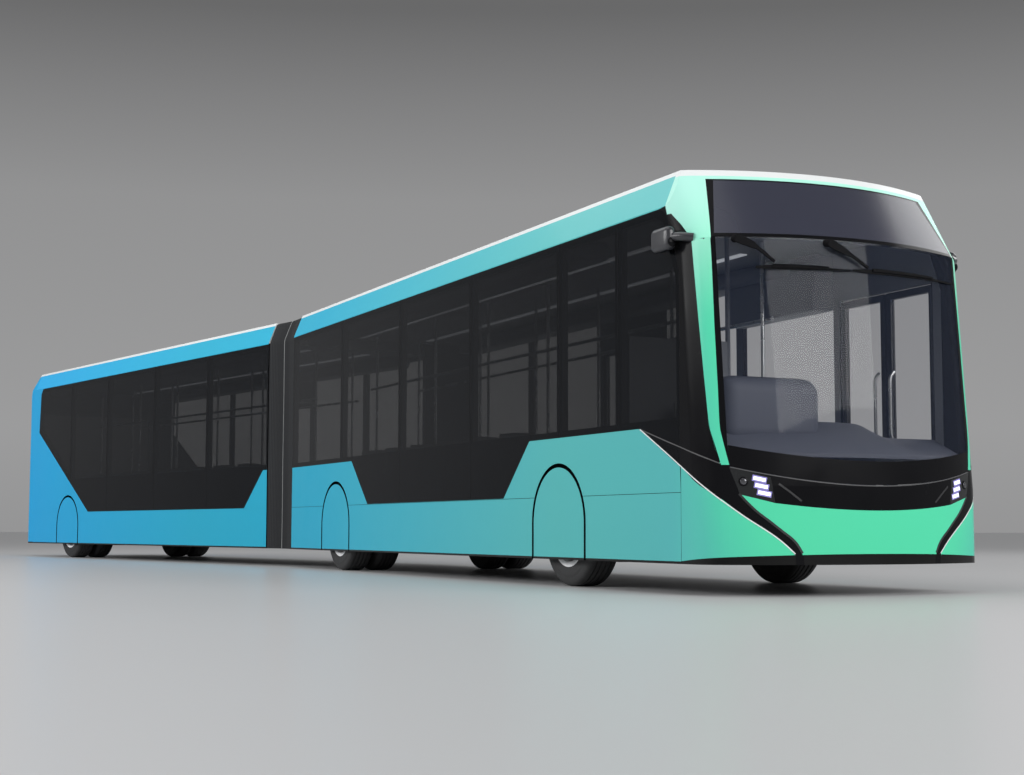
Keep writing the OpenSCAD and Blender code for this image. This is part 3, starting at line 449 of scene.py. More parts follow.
def recolour(material, make):
    """Feeds the shader's base colour with what make(tree, present colour) returns."""
    tree = material.node_tree
    socket = tree.nodes["Principled BSDF"].inputs["Base Color"]
    present = socket.links[0].from_socket
    tree.links.new(make(tree, present), socket)
    return material


def body_paint(name, stops, lip=None, white=None, climb=0.0, tilt=0.0):
    """Body paint: a ramp of colours along the part's x, fine flakes and a clear coat. Below lip it is
    black and above white it is white. With a climb, the ramp moves on with height, and a painted
    light pales it towards the top. With a tilt, the lip rises forwards from the mask's seam."""
    material = finish(name, (0.5, 0.5, 0.5), 0.34, coat=0.08, grain=(90.0, 0.012), uneven=0.03,
                      specular=0.15)
    marks = [((x - RAMP_FROM) / (RAMP_TO - RAMP_FROM), colour) for x, colour in stops]

    def paint(tree, _present):
        place = node(tree, "SeparateXYZ", {0: object_place(tree)})
        x, z = place.outputs[0], place.outputs[2]
        at = maths(tree, "MULTIPLY_ADD", z, climb, x)
        out = ramp(tree, map_range(tree, at, RAMP_FROM, RAMP_TO, 0.0, 1.0), marks)
        sparkle = map_range(tree, noise(tree, 900.0, 1.0), 0.62, 0.8, 0.0, 0.12)
        out = mixed(tree, sparkle, out, FLAKE)
        if climb:
            # Painted light: the paint pales towards the top, as if lit from above
            pale = map_range(tree, z, 1.9, 3.1, 0.0, 0.75, interpolation_type="SMOOTHSTEP")
            out = mixed(tree, pale, out, PAINTED_TOP_LIGHT)
        if white is not None:
            out = mixed(tree, maths(tree, "GREATER_THAN", z, white), out, EDGE_WHITE)
        if lip is not None:
            edge = maths(tree, "MULTIPLY_ADD", x, -tilt, z)
            below = maths(tree, "LESS_THAN", edge, lip - tilt * MASK_SEAM)
            out = mixed(tree, below, out, LIP_BLACK)
        return out

    return recolour(material, paint)


def glass(name, colour, alpha, rough=0.03, specular=0.3):
    """Tinted glass: a dark gloss that lets part of the light through, with a faint waviness."""
    material = finish(name, colour, rough, drift=(0.7, 0.1), grain=(1.3, 0.02), uneven=0.015,
                      specular=specular)
    shader = material.node_tree.nodes["Principled BSDF"]
    shader.inputs["Alpha"].default_value = alpha
    return material


def glow(name, colour, strength):
    """A lit lens: an emission with a fine ribbing."""
    material = finish(name, colour, 0.2, drift=(60.0, 0.1), grain=(700.0, 0.1))
    shader = material.node_tree.nodes["Principled BSDF"]
    shader.inputs["Emission Color"].default_value = rgba(colour)
    shader.inputs["Emission Strength"].default_value = strength
    return material


def woven(name, colour, thread, weft=1.35):
    """Cloth: two crossed waves of threads raise the skin and shade the colour."""
    material = finish(name, colour, 0.85, drift=(9.0, 0.16), grain=(500.0, 0.1), sheen=0.08,
                      specular=0.2)
    tree = material.node_tree
    shader = tree.nodes["Principled BSDF"]
    threads = {"Vector": object_place(tree), "Scale": thread, "Distortion": 0.6}
    warp, cross = (node(tree, "TexWave", threads, bands_direction=way) for way in ("Y", "Z"))
    both = maths(tree, "MULTIPLY", warp.outputs[1], cross.outputs[1])
    bump = node(tree, "Bump", {"Strength": 0.35, "Distance": BUMP, "Height": both})
    tree.links.new(bump.outputs[0], shader.inputs["Normal"])

    def lighter(tree, present):
        return mixed(tree, maths(tree, "MULTIPLY", both, 0.5), present, rgba(colour, weft))

    return recolour(material, lighter)


FINISHES = {}
# Plain finishes: colour, roughness and what differs from the usual
PLAIN = {
    "unit_grey": ((0.55, 0.56, 0.56), 0.5, {"grain": (120.0, 0.04)}),
    "black_trim": ((0.006, 0.006, 0.007), 0.42, {"grain": (420.0, 0.05), "specular": 0.05}),
    "gloss_black": ((0.006, 0.006, 0.007), 0.22, {"grain": (30.0, 0.01), "specular": 0.07}),
    "wiper_black": ((0.006, 0.006, 0.007), 0.7, {"grain": (420.0, 0.1), "specular": 0.08}),
    "door_frame": ((0.011, 0.011, 0.012), 0.4, {"grain": (380.0, 0.05)}),
    "inner_trim": ((0.17, 0.18, 0.20), 0.6, {"grain": (300.0, 0.12)}),
    "dash_plastic": ((0.062, 0.067, 0.09), 0.65, {"grain": (450.0, 0.3)}),
    "floor_vinyl": ((0.10, 0.105, 0.11), 0.6, {"drift": (700.0, 0.5), "grain": (500.0, 0.1)}),
    "chassis": ((0.02, 0.02, 0.021), 0.65, {"drift": (14.0, 0.35), "grain": (110.0, 0.25)}),
    "steel": ((0.30, 0.30, 0.31), 0.38, {"metal": 0.9, "grain": (160.0, 0.1), "uneven": 0.12}),
    "rail_steel": ((0.62, 0.63, 0.64), 0.28,
                   {"metal": 1.0, "grain": (300.0, 0.08), "stretch": (1.0, 1.0, 0.05)}),
    "rim_paint": ((0.86, 0.86, 0.87), 0.35, {"coat": 0.3, "drift": (20.0, 0.1)}),
    "rubber": ((0.026, 0.026, 0.027), 0.72, {"drift": (12.0, 0.2), "grain": (340.0, 0.18)}),
    "pod_grey": ((0.028, 0.029, 0.034), 0.3, {"coat": 0.2, "grain": (300.0, 0.04)}),
    # Seam lines, lighter than the black beside them: partly a real seam, partly painted highlight
    "grey_line": ((0.075, 0.075, 0.078), 0.5, {"grain": (200.0, 0.03)}),
    # Painted highlight on the ridge of the front's dark sweep
    "white_line": ((0.72, 0.74, 0.74), 0.35, {"grain": (200.0, 0.03)}),
    # Lighter than gloss black: painted highlight on the sweep's bevel and on a fold
    "bevel": ((0.022, 0.022, 0.024), 0.4, {"grain": (300.0, 0.05)}),
    "lamp_chrome": ((0.10, 0.10, 0.11), 0.12, {"metal": 0.6, "grain": (40.0, 0.02)}),
    "clear_lens": ((0.6, 0.6, 0.62), 0.15,
                   {"coat": 0.5, "drift": (90.0, 0.2), "grain": (240.0, 0.3)}),
    "red_lens": ((0.35, 0.008, 0.01), 0.12,
                 {"coat": 0.6, "drift": (90.0, 0.25), "grain": (260.0, 0.3)}),
    "amber_lens": ((0.55, 0.16, 0.01), 0.15,
                   {"coat": 0.6, "drift": (90.0, 0.2), "grain": (260.0, 0.3)}),
    "pale_cord": ((0.32, 0.33, 0.33), 0.6, {"drift": (8.0, 0.25), "grain": (380.0, 0.2)}),
    "seat_shell": ((0.06, 0.062, 0.066), 0.5, {"grain": (420.0, 0.2)}),
    "plain_grey": ((0.10, 0.105, 0.12), 0.5, {"grain": (300.0, 0.1)}),
}
# Glass: colour, how much of the light it stops, and what differs from the usual
GLAZING = {
    "side_glass": ((0.003, 0.004, 0.006), 0.7, {"specular": 0.14}),
    "far_glass": ((0.02, 0.022, 0.024), 0.04, {}),
    "windscreen_glass": ((0.05, 0.065, 0.11), 0.1, {"specular": 0.5}),
    "sign_glass": ((0.032, 0.034, 0.052), 0.94, {"rough": 0.24, "specular": 0.5}),
    "door_glass": ((0.02, 0.022, 0.022), 0.04, {}),
    "lamp_lens": ((0.02, 0.021, 0.022), 0.95, {"rough": 0.06}),
}
# Lit lenses, and the painted glow round the lamp bars: colour and strength
LIT = {
    "led": ((0.84, 0.82, 1.0), 1.15, {}),
    # Not a lamp: painted glow of the lamp bars' light round each bar
    "halo": ((0.2, 0.18, 0.42), 0.55, {}),
    "cabin_light": ((0.9, 0.93, 1.0), 0.25, {}),
    "red_glow": ((0.6, 0.012, 0.012), 0.6, {}),
}


def zones(name, car, rule, slim=None):
    """Gives a node's faces their finishes: rule(centres, normals) in car points returns finish names.
    The slim faces between panes, shorter than SLIM, get the finish slim, and so do the slanting ones
    that end the panes before the mask."""
    mesh = frame["nodes"][name].data
    count = len(mesh.polygons)
    centre, normal = np.empty(count * 3), np.empty(count * 3)
    mesh.polygons.foreach_get("center", centre)
    mesh.polygons.foreach_get("normal", normal)
    middle = in_car(centre.reshape(-1, 3), car)
    chosen = rule(middle, in_car(normal.reshape(-1, 3) + PIVOT, car))
    if slim:
        corners, places = np.empty(count * 3, np.int32), np.empty(len(mesh.vertices) * 3)
        mesh.loops.foreach_get("vertex_index", corners)
        mesh.vertices.foreach_get("co", places)
        length = np.ptp(in_car(places.reshape(-1, 3), car)[corners, 0].reshape(-1, 3), axis=1)
        panes = (middle[:, 2] > SILL_Z + 0.05) & (middle[:, 2] < HEADER_Z - 0.02)
        slanting = (middle[:, 0] > LAST_PANE_X) & (middle[:, 1] < 0) & (length < LAST_PANE_END)
        chosen[panes & ((length < SLIM) | slanting) & (chosen == "body_paint")] = slim
    names = sorted(set(chosen.tolist()))
    mesh.materials.clear()
    for each in names:
        mesh.materials.append(FINISHES[each])
    mesh.polygons.foreach_set("material_index", np.searchsorted(names, chosen).astype(np.int32))
    mesh.update()


def dress(name, finish_name):
    """Gives a whole node one finish."""
    mesh = frame["nodes"][name].data
    mesh.materials.clear()
    mesh.materials.append(FINISHES[finish_name])


def all_of(centre, finish_name):
    """One finish name for every face, with room for longer names."""
    return np.full(len(centre), finish_name, dtype="<U24")


def wall_rule(centre, normal):
    """Outer skin painted, inner skin pale trim, reveals and recesses black."""
    side = np.abs(centre[:, 1])
    out = np.sign(centre[:, 1]) * normal[:, 1]
    chosen = all_of(centre, "black_trim")
    chosen[(side > HALF_W - 0.003) & (out > 0.5)] = "body_paint"
    chosen[(side < INNER_Y + 0.003) & (out < -0.5)] = "inner_trim"
    return chosen


def roof_rule(centre, normal):
    """Coves in a lighter copy of the paint, painted light on their upward slope, ceiling pale, deck
    and well in roof white.
    """
    side = np.sign(centre[:, 1]) * normal[:, 1]
    chosen = all_of(centre, "roof_white")
    chosen[(side > 0.6) & (np.abs(centre[:, 1]) > 1.1)] = "cove_paint"
    chosen[normal[:, 2] < -0.7] = "inner_trim"
    return chosen


def shell_rule(centre, normal, middle, paint, lining):
    """Faces that look away from the middle are painted, the others get the lining."""
    away = centre - np.asarray(middle)
    away /= np.linalg.norm(away, axis=1)[:, None]
    chosen = all_of(centre, lining)
    chosen[np.einsum("ij,ij->i", away, normal) > 0.2] = paint
    return chosen


def cover_rule(centre, normal):
    """Wheel covers: painted outside, black at the back and on the edges."""
    chosen = all_of(centre, "black_trim")
    chosen[(np.abs(centre[:, 1]) > HALF_W - 0.002) & (np.abs(normal[:, 1]) > 0.8)] = "cover_paint"
    return chosen


def pane_rule(centre, normal):
    """Side panes: dark tint on the right, clearer on the door side."""
    return np.where(centre[:, 1] < 0, "side_glass", "far_glass").astype("<U24")


def leaf_rule(centre, normal):
    """Door leaves: pane inside the frame, black frame and pin outside it."""
    chosen = all_of(centre, "door_frame")
    depth = HALF_W - np.abs(centre[:, 1])
    chosen[(np.abs(normal[:, 1]) > 0.8) & (depth > 0.018) & (depth < 0.032)] = "door_glass"
    return chosen


# Sizes and colours that a user would change


def colour_setting(title, text, value):
    """A colour that a user would change."""
    return bpy.props.FloatVectorProperty(
        name=title, description=text, default=value, subtype="COLOR", size=3, min=0.0, max=1.0)


def length_setting(title, text, value, low, high):
    """A length that a user would change."""
    return bpy.props.FloatProperty(
        name=title, description=text, default=value, min=low, max=high, unit="LENGTH")


class BusColours(bpy.types.PropertyGroup):
    """Colours of the bus."""

    tail: colour_setting("Tail paint", "Body paint at the tail", (0.004, 0.34, 0.68))
    middle: colour_setting("Middle paint", "Body paint at the middle", (0.012, 0.335, 0.50))
    flank: colour_setting("Flank paint", "Body paint behind the front corner", (0.08, 0.41, 0.41))
    nose: colour_setting("Nose paint", "Body paint on the front", (0.085, 0.66, 0.38))
    roof: colour_setting("Roof", "Roof deck and its units", (0.62, 0.63, 0.63))
    seat: colour_setting("Seat cloth", "Cloth of the passenger seats", (0.07, 0.16, 0.24))
    bellows: colour_setting("Bellows", "Cloth of the bellows", (0.022, 0.023, 0.025))
    floor: colour_setting("Stage floor", "Floor that the bus stands on", (0.5, 0.5, 0.505))


class BusSizes(bpy.types.PropertyGroup):
    """Sizes of the added pieces."""

    # The pale line along the sweep is a painted highlight on its ridge
    line_w: length_setting(
        "Trim line", "Width of the pale line along the front's dark sweep", 0.009, 0.004, 0.03)
    groove: length_setting("Tread groove", "Depth of the tyres' tread grooves", 0.012, 0.004, 0.02)
    pleat: length_setting("Pleat", "Depth of the bellows' pleats", 0.012, 0.004, 0.02)
    pleats: bpy.props.IntProperty(
        name="Pleats", description="Number of pleats on each half of the bellows",
        default=11, min=4, max=24)
    crown: length_setting("Crown", "Rise of a seat cushion at its middle", 0.02, 0.005, 0.03)


class BUS_OT_stage(bpy.types.Operator):
    """Floor, soft light, background and the camera at the photograph's angle"""

    bl_idname = "bus.stage"
    bl_label = "Stage"

    # Half the floor's width, and the points along each side of it
    FLOOR_REACH, FLOOR_POINTS = 220.0, 9
    # The background's grey by the height of the view, and the even light
    SKY = ((0.0, 0.30), (0.06, 0.33), (0.2, 0.285), (0.26, 0.21), (0.31, 0.14), (1.0, 0.14))
    FILL = (0.5, 0.505, 0.51, 1)
    # Lamps: name, place, aim, size and power
    LAMPS = (
        ("front_softbox", (25.0, 6.0, 9.0), (9.0, 0.5, 1.5), (14.0, 8.0), 2300.0),
        ("top_softbox", (1.0, -3.0, 13.0), (1.0, 0.0, 0.0), (26.0, 8.0), 850.0),
        ("side_softbox", (2.0, -20.0, 9.0), (0.0, 0.0, 1.4), (26.0, 7.0), 3200.0),
        ("far_softbox", (3.5, 19.0, 13.0), (5.0, 0.5, 1.5), (16.0, 9.0), 1000.0),
    )
    # The camera's yaw, pitch and roll in degrees, its place, and its lens and sensor in mm
    AIM = (154.999, 5.002, 0.097)
    EYE = (19.8846, -6.5941, 0.476)
    LENS, SENSOR = 57.02, 36.0

    def execute(self, context):
        scene = context.scene
        scene.view_settings.view_transform = "Standard"
        self.floor(scene)
        self.world(scene)
        self.lamps(scene)
        self.camera(scene)
        return {"FINISHED"}

    def floor(self, scene):
        """A level grid of quads, plain and pale."""
        grid = np.linspace(-1, 1, self.FLOOR_POINTS) * self.FLOOR_REACH
        x, y = np.meshgrid(grid, grid)
        points = np.stack([x, y, np.zeros_like(x)], -1).reshape(-1, 3)
        index = np.arange(x.size).reshape(x.shape)
        quads = np.stack([index[:-1, :-1], index[:-1, 1:], index[1:, 1:], index[1:, :-1]], -1)
        mesh = bpy.data.meshes.new("studio_floor")
        mesh.from_pydata(points.tolist(), [], quads.reshape(-1, 4).tolist())
        made = bpy.data.objects.new("studio_floor", mesh)
        scene.collection.objects.link(made)
        mesh.materials.append(finish(
            "studio_floor", scene.bus_colours.floor, 0.32, drift=(0.2, 0.0), grain=(1.0, 0.0),
            uneven=0.0, specular=0.3))

    def world(self, scene):
        """A grey that changes with height for the camera, glass and gloss, and an even fill for the
        rest."""
        world = bpy.data.worlds.new("studio")
        scene.world = world
        world.use_nodes = True
        tree = world.node_tree
        back = tree.nodes["Background"]
        way = node(tree, "SeparateXYZ", {0: node(tree, "TexCoord", {}).outputs["Generated"]})
        seen = ramp(tree, way.outputs[2], [(at, (v, v, v * 1.01)) for at, v in self.SKY])
        path = node(tree, "LightPath", {}).outputs
        rays = maths(tree, "MAXIMUM", path["Is Camera Ray"], path["Is Transmission Ray"])
        rays = maths(tree, "MAXIMUM", rays, path["Is Glossy Ray"])
        tree.links.new(mixed(tree, rays, self.FILL, seen), back.inputs["Color"])
        back.inputs["Strength"].default_value = 1.0

    def lamps(self, scene):
        """Rectangular softboxes, each turned to what it lights."""
        for name, place, aim, size, power in self.LAMPS:
            light = bpy.data.lights.new(name, "AREA")
            light.shape = "RECTANGLE"
            light.size, light.size_y = size
            light.energy = power
            made = bpy.data.objects.new(name, light)
            z = np.array(place) - np.array(aim)
            z /= np.linalg.norm(z)
            x = np.cross((0, 0, 1), z)
            x /= np.linalg.norm(x)
            made.matrix_world = self.frame_of(x, np.cross(z, x), z, place)
            scene.collection.objects.link(made)

    def camera(self, scene):
        """The view's axes from yaw and pitch, turned about the view by the roll."""
        yaw, pitch, roll = (math.radians(angle) for angle in self.AIM)
        level = math.cos(pitch)
        f = np.array([math.cos(yaw) * level, math.sin(yaw) * level, math.sin(pitch)])
        r = np.array([math.sin(yaw), -math.cos(yaw), 0.0])
        u = np.cross(r, f)
        right = math.cos(roll) * r + math.sin(roll) * u
        up = -math.sin(roll) * r + math.cos(roll) * u
        lens = bpy.data.cameras.new("camera")
        lens.sensor_width = self.SENSOR
        lens.lens = self.LENS
        lens.clip_end = 1000.0
        made = bpy.data.objects.new("camera", lens)
        made.matrix_world = self.frame_of(right, up, -f, self.EYE)
        scene.collection.objects.link(made)
        scene.camera = made

    def frame_of(self, x, y, z, place):
        """The matrix with three axes and a place as its columns."""
        rows = np.eye(4)
        rows[:3, 0], rows[:3, 1], rows[:3, 2], rows[:3, 3] = x, y, z, place
        return Matrix(rows.tolist())


class BUS_OT_finishes(bpy.types.Operator):
    """Makes the finishes and gives every solid of the frame its own"""

    bl_idname = "bus.finishes"
    bl_label = "Finishes of the solids"

    def execute(self, context):
        self.make(context.scene.bus_colours)
        self.give()
        return {"FINISHED"}

    def make(self, c):
        """The paints, whose colours change along the bus, then the tables and the cloths."""
        corner = [a * 0.7 + b * 0.3 for a, b in zip(c.flank, c.nose)]
        between = [(a + b) / 2 for a, b in zip(c.middle, c.flank)]
        stops = ((-10.0, c.tail), (-3.0, c.middle), (1.0, c.middle), (4.5, between), (7.5, c.flank),
                 (9.5, c.flank), (9.95, corner), (10.2, c.nose))
        # Lighter copies of the paint for the coves: painted light on their upward slope
        pale = tuple((x, [min(v * 1.1 + 0.02, 1) for v in colour]) for x, colour in stops)
        paints = {
            "body_paint": (stops, {"lip": 0.245}),
            # The front's paint climbs and pales towards the top: painted light
            "mask_paint": (stops, {"lip": 0.247, "white": 3.14, "climb": 0.14, "tilt": 0.085}),
            "tail_paint": (stops, {"lip": 0.25, "white": 3.15}),
            "cover_paint": (stops, {"lip": 0.245}),
            "cove_paint": (pale, {"white": 3.155}),
        }
        for name, (colours, edges) in paints.items():
            FINISHES[name] = body_paint(name, colours, **edges)
        for kind, table in ((finish, PLAIN), (glass, GLAZING), (glow, LIT)):
            for name, (colour, level, more) in table.items():
                FINISHES[name] = kind(name, colour, level, **more)
        FINISHES["roof_white"] = finish("roof_white", c.roof, 0.45, grain=(60.0, 0.02))
        FINISHES["bellows_cloth"] = woven("bellows_cloth", c.bellows, 260.0)
        FINISHES["seat_cloth"] = woven("seat_cloth", c.seat, 190.0)

    def give(self):
        """Solids of several zones by their rules, the others in one finish."""
        for label in ("front", "rear"):
            car = f"{label}_car"
            for side in ("right", "left"):
                zones(f"{label}_{side}_wall", car, wall_rule, "black_trim")
            zones(f"{label}_roof", car, roof_rule)
            zones(f"{label}_side_glass", car, pane_rule)
        zones("front_mask", "front_car", lambda centre, normal: shell_rule(
            centre, normal, (9.4, 0, 1.7), "mask_paint", "black_trim"))
        zones("rear_mask", "rear_car", lambda centre, normal: shell_rule(
            centre, normal, (-9.2, 0, 1.7), "tail_paint", "inner_trim"))
        for name in ("mid_wheel_covers", "left_steer_cover", "right_steer_cover"):
            zones(name, "front_car", cover_rule)
        zones("rear_wheel_covers", "rear_car", cover_rule)
        for door, (car, _x) in DOORS.items():
            for leaf in ("fore", "aft"):
                zones(f"{door}_door_{leaf}_leaf", car, leaf_rule)
        whole = {
            "unit_grey": ("front_roof_units", "rear_roof_units"),
            "side_glass": ("rear_window",),
            "windscreen_glass": ("windscreen",),
            "sign_glass": ("destination_glass",),
            "lamp_lens": ("headlamps",),
            "red_lens": ("tail_lamps",),
            "black_trim": ("wipers",),
            "gloss_black": ("camera_mirrors", "front_trim"),
            "dash_plastic": ("dashboard", "steering_wheel"),
            "plain_grey": ("cab_partition",),
            "floor_vinyl": ("front_floor", "rear_floor"),
            "rail_steel": ("front_handrails", "rear_handrails"),
            "chassis": ("front_axle", "mid_axle", "drive_axle", "turntable_base", "turntable_arm",
                        "left_knuckle", "right_knuckle"),
            "rim_paint": [name for name in frame["nodes"] if name.endswith("_rim")],
            "rubber": [name for name in frame["nodes"] if name.endswith(("_tyre", "_tyres"))],
            "bellows_cloth": ("bellows",),
            "seat_cloth": ("front_seats", "rear_seats", "driver_seat"),
        }
        for finish_name, names in whole.items():
            for name in names:
                dress(name, finish_name)


class BUS_OT_bellows(bpy.types.Operator):
    """Pleated hood between the cars, with a pale cord on its middle hoop"""

    bl_idname = "bus.bellows"
    bl_label = "Bellows"

    def execute(self, context):
        sizes = context.scene.bus_sizes
        outline = self.outline()
        folds = sizes.pleats * 2
        s = np.linspace(BELLOWS_END, -BELLOWS_END, folds * 8 + 1)
        fold = (1 - np.cos(np.linspace(0, 2 * math.pi * folds, len(s)))) / 2
        inset = 0.005 + sizes.pleat * (1 - fold)
        inset[np.abs(s) < 0.02] = 0.004
        outer = self.drawn(outline, s[:, None], inset[:, None])
        inner = self.drawn(outline, s[:, None], np.full((len(s), 1), HOOD_T))[:, ::-1]
        hood = piece("bellows_hood", [loft(np.concatenate([outer, inner], 1))], "front_car",
                     "bellows_cloth", "none")
        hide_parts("bellows")
        wave = 0.004 * np.sin(np.linspace(0, 40, len(outline)))
        line = self.drawn(outline, wave, np.full(len(wave), 0.0025))
        cord = piece("bellows_cord", [tube(line, 0.0035, 8)], "front_car", "pale_cord",
                     "none")
        for made in (hood, cord):
            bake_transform(made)
        return {"FINISHED"}

    def outline(self):
        """The hood's section from the lower right edge over the roof to the lower left, in (y, z):
        straight runs with an arc at each bend, which starts BEND_R before it."""
        right = [(-HALF_W, SKIRT_Z), (-HALF_W, HEADER_Z), (-HEAD_HALF, ROOF_Z)]
        corners = np.array(right + [(-y, z) for y, z in right[::-1]])
        runs = [np.linspace(corners[0], corners[1], 24, endpoint=False)[:-1]]
        t = np.linspace(0, 1, 6)[:, None]
        for k in range(1, 5):
            back, fore = corners[k - 1] - corners[k], corners[k + 1] - corners[k]
            a = corners[k] + BEND_R * back / np.linalg.norm(back)
            b = corners[k] + BEND_R * fore / np.linalg.norm(fore)
            runs.append((1 - t) ** 2 * a + 2 * t * (1 - t) * corners[k] + t**2 * b)
            if k == 2:
                runs.append(np.linspace(b, [-b[0], b[1]], 20)[1:-1])
        runs.append(np.linspace(corners[4], corners[5], 24)[2:])
        return np.concatenate(runs)

    def drawn(self, outline, s, inset):
        """The outline drawn in by inset at stations s along the hood, each turned by its share of the
        bend. A column of stations gives a ring each, and one station for each point gives a line."""
        t = (BELLOWS_END - s) / (2 * BELLOWS_END)
        a = BEND * t * t * (3 - 2 * t)
        along = np.gradient(outline, axis=0)
        inward = np.stack([along[:, 1], -along[:, 0]], 1)
        inward /= np.linalg.norm(inward, axis=1)[:, None]
        flat = outline + inward * inset[..., None]
        y, z = flat[..., 0], np.maximum(flat[..., 1], SKIRT_Z)
        return np.stack([s * np.cos(a) - y * np.sin(a), s * np.sin(a) + y * np.cos(a), z], -1)


class BUS_OT_wheels(bpy.types.Operator):
    """Grooved tyres in place of the plain ones, hub caps, wheel nuts and rim flanges"""

    bl_idname = "bus.wheels"
    bl_label = "Wheels"

    # Sections as pairs of radius and distance. Flange and sidewall are measured from the rim's edge and
    # the tyre's flank, the shoulder from the tread and the flank, the cap and nut from the disc
    FLANGE = ((-0.012, 0.03), (-0.008, 0.012), (0.012, 0.006), (0.028, 0.001), (0.032, 0.004),
              (0.014, 0.012), (0.002, 0.024))
    SIDEWALL = ((0.0, 0.028), (0.012, 0.017), (0.04, 0.006), (0.07, 0.002), (0.095, 0.0), (0.11, 0.0),
                (0.115, 0.003), (0.13, 0.003))
    SHOULDER = ((0.03, 0.008), (0.016, 0.015), (0.006, 0.028), (0.0, 0.045))
    CAP = ((0.001, 0.0), (0.001, 0.03), (0.05, 0.029), (0.075, 0.022), (0.082, 0.01), (0.105, 0.008),
           (0.108, 0.0))
    NUT = ((0.001, 0.0), (0.001, 0.026), (0.011, 0.026), (0.0125, 0.012), (0.019, 0.01), (0.019, 0.0))
    GROOVES = (0.066, 0.022, -0.022, -0.066)
    NUTS, NUT_CIRCLE = 10, 0.1675

    def execute(self, context):
        groove = context.scene.bus_sizes.groove
        for axle, x in AXLES.items():
            car = "rear_car" if axle == "rear" else "front_car"
            twin = axle != "front"
            apart = (TWIN_W - TYRE_W) / 2
            for side_name, side in (("left", 1), ("right", -1)):
                place = np.array([x, side * WHEEL_Y[axle], TYRE_R])
                body = f"{axle}_{side_name}_wheel"
                tyres = [turned(self.tread(groove), place + [0, side * d, 0], side, 72)
                         for d in ((-apart, apart) if twin else (0.0,))]
                made = piece(f"{body}_tread", tyres, car, "rubber", body)
                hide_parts(f"{axle}_{side_name}_" + ("tyres" if twin else "tyre"))
                hub = self.hub(place, side, DISC_FACE[axle])
                piece(f"{body}_hub", hub, car, "steel", body)
                lip = (TWIN_W if twin else TYRE_W) / 2
                ring = turned([(RIM_R + r, lip - y) for r, y in self.FLANGE], place, side, 96)
                piece(f"{body}_flange", [ring], car, "rim_paint", body)
        return {"FINISHED"}

    def tread(self, groove):
        """Section of a tyre: bead, sidewall with a rib, round shoulder and a grooved tread."""
        h = TYRE_W / 2
        side = [(RIM_R + r, h - y) for r, y in self.SIDEWALL]
        side += [(TYRE_R - r, h - y) for r, y in self.SHOULDER]
        tread = []
        for y in self.GROOVES:
            tread += [(TYRE_R, y + 0.007), (TYRE_R - groove, y + 0.004), (TYRE_R - groove, y - 0.004),
                      (TYRE_R, y - 0.007)]
        return side + tread + [(r, -y) for r, y in side[::-1]]

    def hub(self, place, side, face):
        """A stepped hub cap and a ring of six-sided nuts on the wheel's disc."""
        cap, nut = ([(r, face + y) for r, y in section] for section in (self.CAP, self.NUT))
        shapes = [turned(cap, place, side, 40)]
        for k in range(self.NUTS):
            angle = 2 * math.pi * k / self.NUTS
            shift = self.NUT_CIRCLE * np.array([math.cos(angle), 0, math.sin(angle)])
            shapes.append(turned(nut, place + shift, side, 6))
        return shapes


